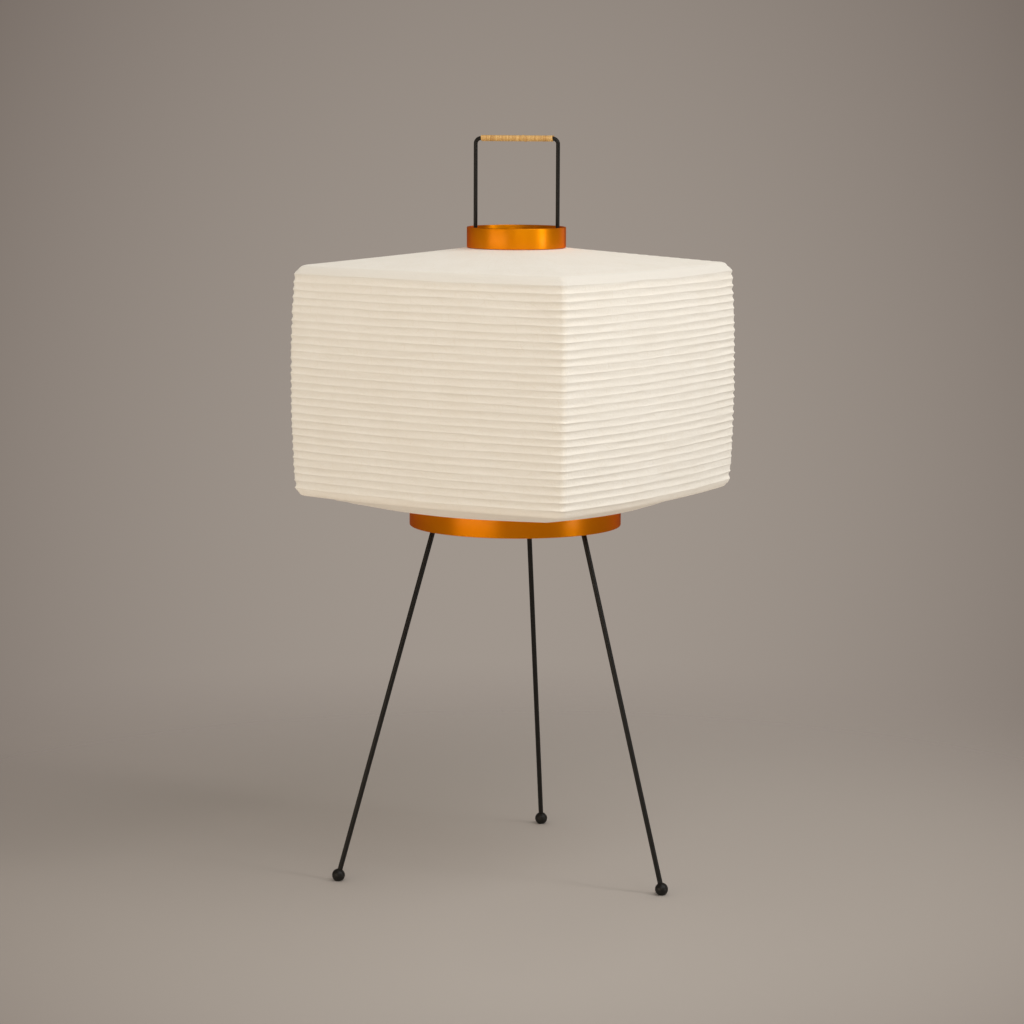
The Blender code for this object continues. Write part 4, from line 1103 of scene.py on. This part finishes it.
low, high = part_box("holder_base")
holder_radius = high.x
waist = holder_radius - CUP_WAIST
inner = holder_radius - CUP_WALL
tube_hole = NIPPLE_RADIUS + CLEARANCE
section = [
    (holder_radius, low.z), (holder_radius, low.z + 0.006), (waist, low.z + 0.007), (waist, high.z - 0.002),
    (holder_radius, high.z - 0.001), (holder_radius, high.z), (inner, high.z), (inner, low.z + CUP_FLOOR),
    (tube_hole, low.z + CUP_FLOOR), (tube_hole, low.z),
]
holder_cup = settle(turned("holder_cup", section, FINE_ROUNDING, HOLDER_STEPS))
dress(holder_cup, black_moulding, "black_plastic", "base", "holder_base")

low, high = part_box("holder_shell")
section = [(holder_radius, low.z)]
for ridge in range(RIDGES):
    height = low.z + RIDGE_START + RIDGE_STEP * ridge
    section += [
        (holder_radius, height), (holder_radius - RIDGE_DEPTH, height + RIDGE_DEPTH),
        (holder_radius, height + 2.0 * RIDGE_DEPTH)]
section += [(holder_radius, high.z), (SLEEVE_BORE, high.z), (SLEEVE_BORE, low.z)]
holder_sleeve = settle(turned("holder_sleeve", section, FINE_ROUNDING, HOLDER_STEPS))
dress(holder_sleeve, black_moulding, "black_plastic", "base", "holder_shell")

# %% Cable bush and small fittings
BUSH_RADIUS, BUSH_BORE, BUSH_FLANGE = 0.0032, 0.0022, 0.0015

low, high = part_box("cable_gland")
flange = low.z + BUSH_FLANGE
section = [
    (BUSH_RADIUS, high.z), (BUSH_RADIUS, flange), (high.x, flange), (high.x, low.z), (BUSH_BORE, low.z),
    (BUSH_BORE, high.z),
]
cable_bush = settle(turned("cable_bush", section, FINE_ROUNDING, SOCKET_STEPS))
dress(cable_bush, black_moulding, "black_plastic", "base", "cable_gland")
for node, finish in (
    ("nipple", zinc_steel), ("locknut", zinc_steel), ("holder_insert", glazed_ceramic),
    ("holder_contact", bright_brass), ("bulb_contact", bright_brass),
):
    repaint(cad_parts[node], finish)

# %% Bulb cap
CAP_THREAD = 0.00353        # from one turn of the thread to the next
CAP_TURNS = 5
THREAD_WAVE = ((0.0, 0.0), (0.25, 0.0004), (0.5, 0.0008), (0.75, 0.0004))   # share of a turn, depth
CAP_NECK = 0.0004

low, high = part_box("bulb_cap")
neck = high.x - CAP_NECK
section = [(0.0, high.z), (neck, high.z), (neck, high.z - 0.0044)]
for turn in range(CAP_TURNS):
    top = high.z - 0.005 - CAP_THREAD * turn
    section += [(high.x - depth, top - CAP_THREAD * share) for share, depth in THREAD_WAVE]
section += [(high.x - 0.002, low.z + 0.0004), (0.0, low.z)]
threaded_cap = settle(turned("threaded_cap", section, 0.0, 64, closed=False))
dress(threaded_cap, bright_brass, "brass", "bulb", "bulb_cap")

# %% Bulb glass
GLASS_RADIUS, NECK_RADIUS = 0.025, 0.0125
BALL_SWEEP, BALL_POINTS = 125.0, 24         # degrees of the round part, from the top
TAPER_POINTS = 10

low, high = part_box("bulb_glass")
middle = high.z - GLASS_RADIUS
section = []
for i in range(BALL_POINTS + 1):
    angle = math.radians(90.0 - BALL_SWEEP * i / BALL_POINTS)
    section.append((max(0.0, GLASS_RADIUS * math.cos(angle)), middle + GLASS_RADIUS * math.sin(angle)))
section[0] = (0.0, high.z)
waist_radius, waist_height = section[-1]
for i in range(1, TAPER_POINTS + 1):
    share = i / TAPER_POINTS
    taper = (1.0 + math.cos(math.pi * share)) / 2.0
    section.append((
        NECK_RADIUS + (waist_radius - NECK_RADIUS) * taper, waist_height + (low.z - waist_height) * share))
section += [(NECK_RADIUS - 0.001, low.z), (0.0, low.z)]
opal_bulb = settle(turned("opal_bulb", section, 0.0, HOLDER_STEPS, closed=False))
dress(opal_bulb, opal_glass, "glass", "bulb", "bulb_glass")

# %% [markdown]
# ## Floor, background and light
#
# The lamp stands on a plain floor that runs into a warm grey background without a line. The floor fades out
# with distance from the lamp, and the background comes from the world. A pool of light is painted into the
# floor's colour: it is painted brighter in a long pool that the lamp stands in and darker away from it.

# %% Floor
# painted light: the floor is painted lighter near the lamp and darker away from it, as a pool of light
FLOOR_IN_PAINTED_LIGHT = linear(177, 169, 161)
FLOOR_OUT_OF_PAINTED_LIGHT = linear(144, 134, 126)
FLOOR_RADIUS = 4.0
PAINTED_LIGHT_SHAPE = (1.0, 0.5, 1.0)        # the painted pool of light is twice as long as it is wide
PAINTED_LIGHT_PLACE = (0.08, -0.125, 0.0)
PAINTED_LIGHT_START, PAINTED_LIGHT_RADIUS = 0.1, 1.0  # the painted light fades to the darker floor colour between these
FADE_START, FADE_END = 0.4, 1.2

deselect()
bpy.ops.mesh.primitive_circle_add(vertices=128, radius=FLOOR_RADIUS, fill_type="NGON")
floor = named("studio_floor")
floor_finish, tree, shader = new_finish("studio_floor", {"Roughness": 0.85, "Specular IOR Level": 0.15})
on_floor = add_node(tree, "ShaderNodeTexCoord").outputs["Object"]
in_painted_light = add_node(tree, "ShaderNodeVectorMath", {0: on_floor, 1: PAINTED_LIGHT_SHAPE}, operation="MULTIPLY")
from_painted_light = add_node(tree, "ShaderNodeVectorMath", {0: in_painted_light, 1: PAINTED_LIGHT_PLACE}, operation="DISTANCE")
pool = add_node(tree, "ShaderNodeMapRange", {
    "Value": from_painted_light, "From Min": PAINTED_LIGHT_START, "From Max": PAINTED_LIGHT_RADIUS})
distance = add_node(tree, "ShaderNodeVectorMath", {0: on_floor}, operation="LENGTH")
fade = add_node(tree, "ShaderNodeMapRange", {
    "Value": distance, "From Min": FADE_START, "From Max": FADE_END, "To Min": 1.0, "To Max": 0.0},
    interpolation_type="SMOOTHSTEP")
fill(shader, {"Base Color": blend_colours(tree, pool, FLOOR_IN_PAINTED_LIGHT, FLOOR_OUT_OF_PAINTED_LIGHT), "Alpha": fade})
floor.data.materials.append(floor_finish)
print("the floor is gone", FADE_END, "m from the lamp")

# %% [markdown]
# The backdrop has a soft pool of light behind the lamp: it is brightest in the direction that the camera
# looks in, and darker to the sides and upwards. The world's own texture coordinate is the direction of a ray,
# so the pool stays where it is when the camera moves. Lamp light, and not the backdrop, reaches the object:
# only rays from the camera, reflections and rays through glass see the backdrop, and all others see an even
# warm white.

# %% Backdrop
BACKDROP_CENTRE = linear(160, 150, 141)
BACKDROP_EDGE = linear(115, 105, 98)
BACKDROP_WIDTH, BACKDROP_HEIGHT = 0.216, 0.308  # sine of the angle where the edge colour is reached
BACKDROP_DEPTH = 0.2                            # weight of the direction away from the camera
BACKDROP_TILT = -0.15                           # sine of the elevation of the pool's middle
AMBIENT = (1.0, 0.97, 0.93, 1.0)
AMBIENT_STRENGTH = 0.57

world = bpy.data.worlds.new("studio")
world.use_nodes = True
bpy.context.scene.world = world
tree = world.node_tree
tree.nodes.clear()
ray = add_node(tree, "ShaderNodeTexCoord").outputs["Generated"]
facing = add_node(tree, "ShaderNodeVectorRotate", {
    "Vector": ray, "Angle": math.radians(-CAMERA_AZIMUTH)}, rotation_type="Z_AXIS")
from_middle = add_node(
    tree, "ShaderNodeVectorMath", {0: facing, 1: (0.0, 1.0, BACKDROP_TILT)}, operation="SUBTRACT")
in_widths = add_node(tree, "ShaderNodeVectorMath", {
    0: from_middle, 1: (1.0 / BACKDROP_WIDTH, BACKDROP_DEPTH, 1.0 / BACKDROP_HEIGHT)}, operation="MULTIPLY")
squares = add_node(tree, "ShaderNodeVectorMath", {0: in_widths, 1: in_widths}, operation="DOT_PRODUCT")
backdrop = blend_colours(tree, squares, BACKDROP_CENTRE, BACKDROP_EDGE)
seen = add_node(tree, "ShaderNodeBackground", {"Color": backdrop, "Strength": 1.0})
even = add_node(tree, "ShaderNodeBackground", {"Color": AMBIENT, "Strength": AMBIENT_STRENGTH})
rays = add_node(tree, "ShaderNodeLightPath").outputs
camera_or_glossy = add_node(
    tree, "ShaderNodeMath", {0: rays["Is Camera Ray"], 1: rays["Is Glossy Ray"]}, operation="MAXIMUM")
or_transmitted = add_node(
    tree, "ShaderNodeMath", {0: camera_or_glossy, 1: rays["Is Transmission Ray"]}, operation="MAXIMUM")
choose = add_node(tree, "ShaderNodeMixShader", {0: or_transmitted, 1: even, 2: seen})
add_node(tree, "ShaderNodeOutputWorld", {"Surface": choose})
print("world:", world.name, "with", len(tree.nodes), "nodes")

# %% [markdown]
# One large soft lamp from the front right and above is the key. It leaves a faint shadow behind the lamp on
# the left. A weak one in front fills. Two low ones make the upright bright bands on the rings, a warm one on
# the left and a narrow one on the right. A small one higher on the right draws the short shadows at the feet,
# and a very weak one from behind draws the right end of the rings.

# %% Lights
LIGHT_TARGET = Vector((0.0, 0.0, 0.48))


def soft_box(name, to_the_right, elevation, away, width, height, power, colour):
    """A soft area lamp that looks at the lantern, placed by its angle from the camera and its elevation."""
    turn = math.radians(CAMERA_AZIMUTH + to_the_right)
    rise = math.radians(elevation)
    from_target = Vector((math.sin(turn) * math.cos(rise), -math.cos(turn) * math.cos(rise), math.sin(rise)))
    deselect()
    bpy.ops.object.light_add(type="AREA", location=LIGHT_TARGET + away * from_target)
    lamp = bpy.context.object
    lamp.name = name
    lamp.rotation_euler = turn_to(from_target)
    lamp.data.shape = "RECTANGLE"
    lamp.data.size = width
    lamp.data.size_y = height
    lamp.data.energy = power
    lamp.data.color = colour
    print(f"{name}: {power} W, {to_the_right} degrees to the right, {elevation} degrees up")


soft_box("key_light", 44.0, 54.0, 2.8, 2.2, 1.6, 24.5, (0.95, 0.97, 1.0))
soft_box("front_light", 2.0, 28.0, 3.0, 1.4, 1.0, 7.5, (1.0, 0.96, 0.9))
soft_box("left_light", -43.0, -1.0, 3.0, 2.5, 0.8, 20.5, (1.0, 0.82, 0.61))
soft_box("right_light", 63.5, -4.0, 3.0, 0.6, 0.6, 7.0, (1.0, 0.97, 0.94))
soft_box("feet_light", 65.0, 30.0, 3.0, 0.4, 0.45, 13.0, (1.0, 0.97, 0.94))
soft_box("right_back_light", 135.0, 10.0, 3.0, 1.2, 1.2, 2.5, (1.0, 0.97, 0.93))
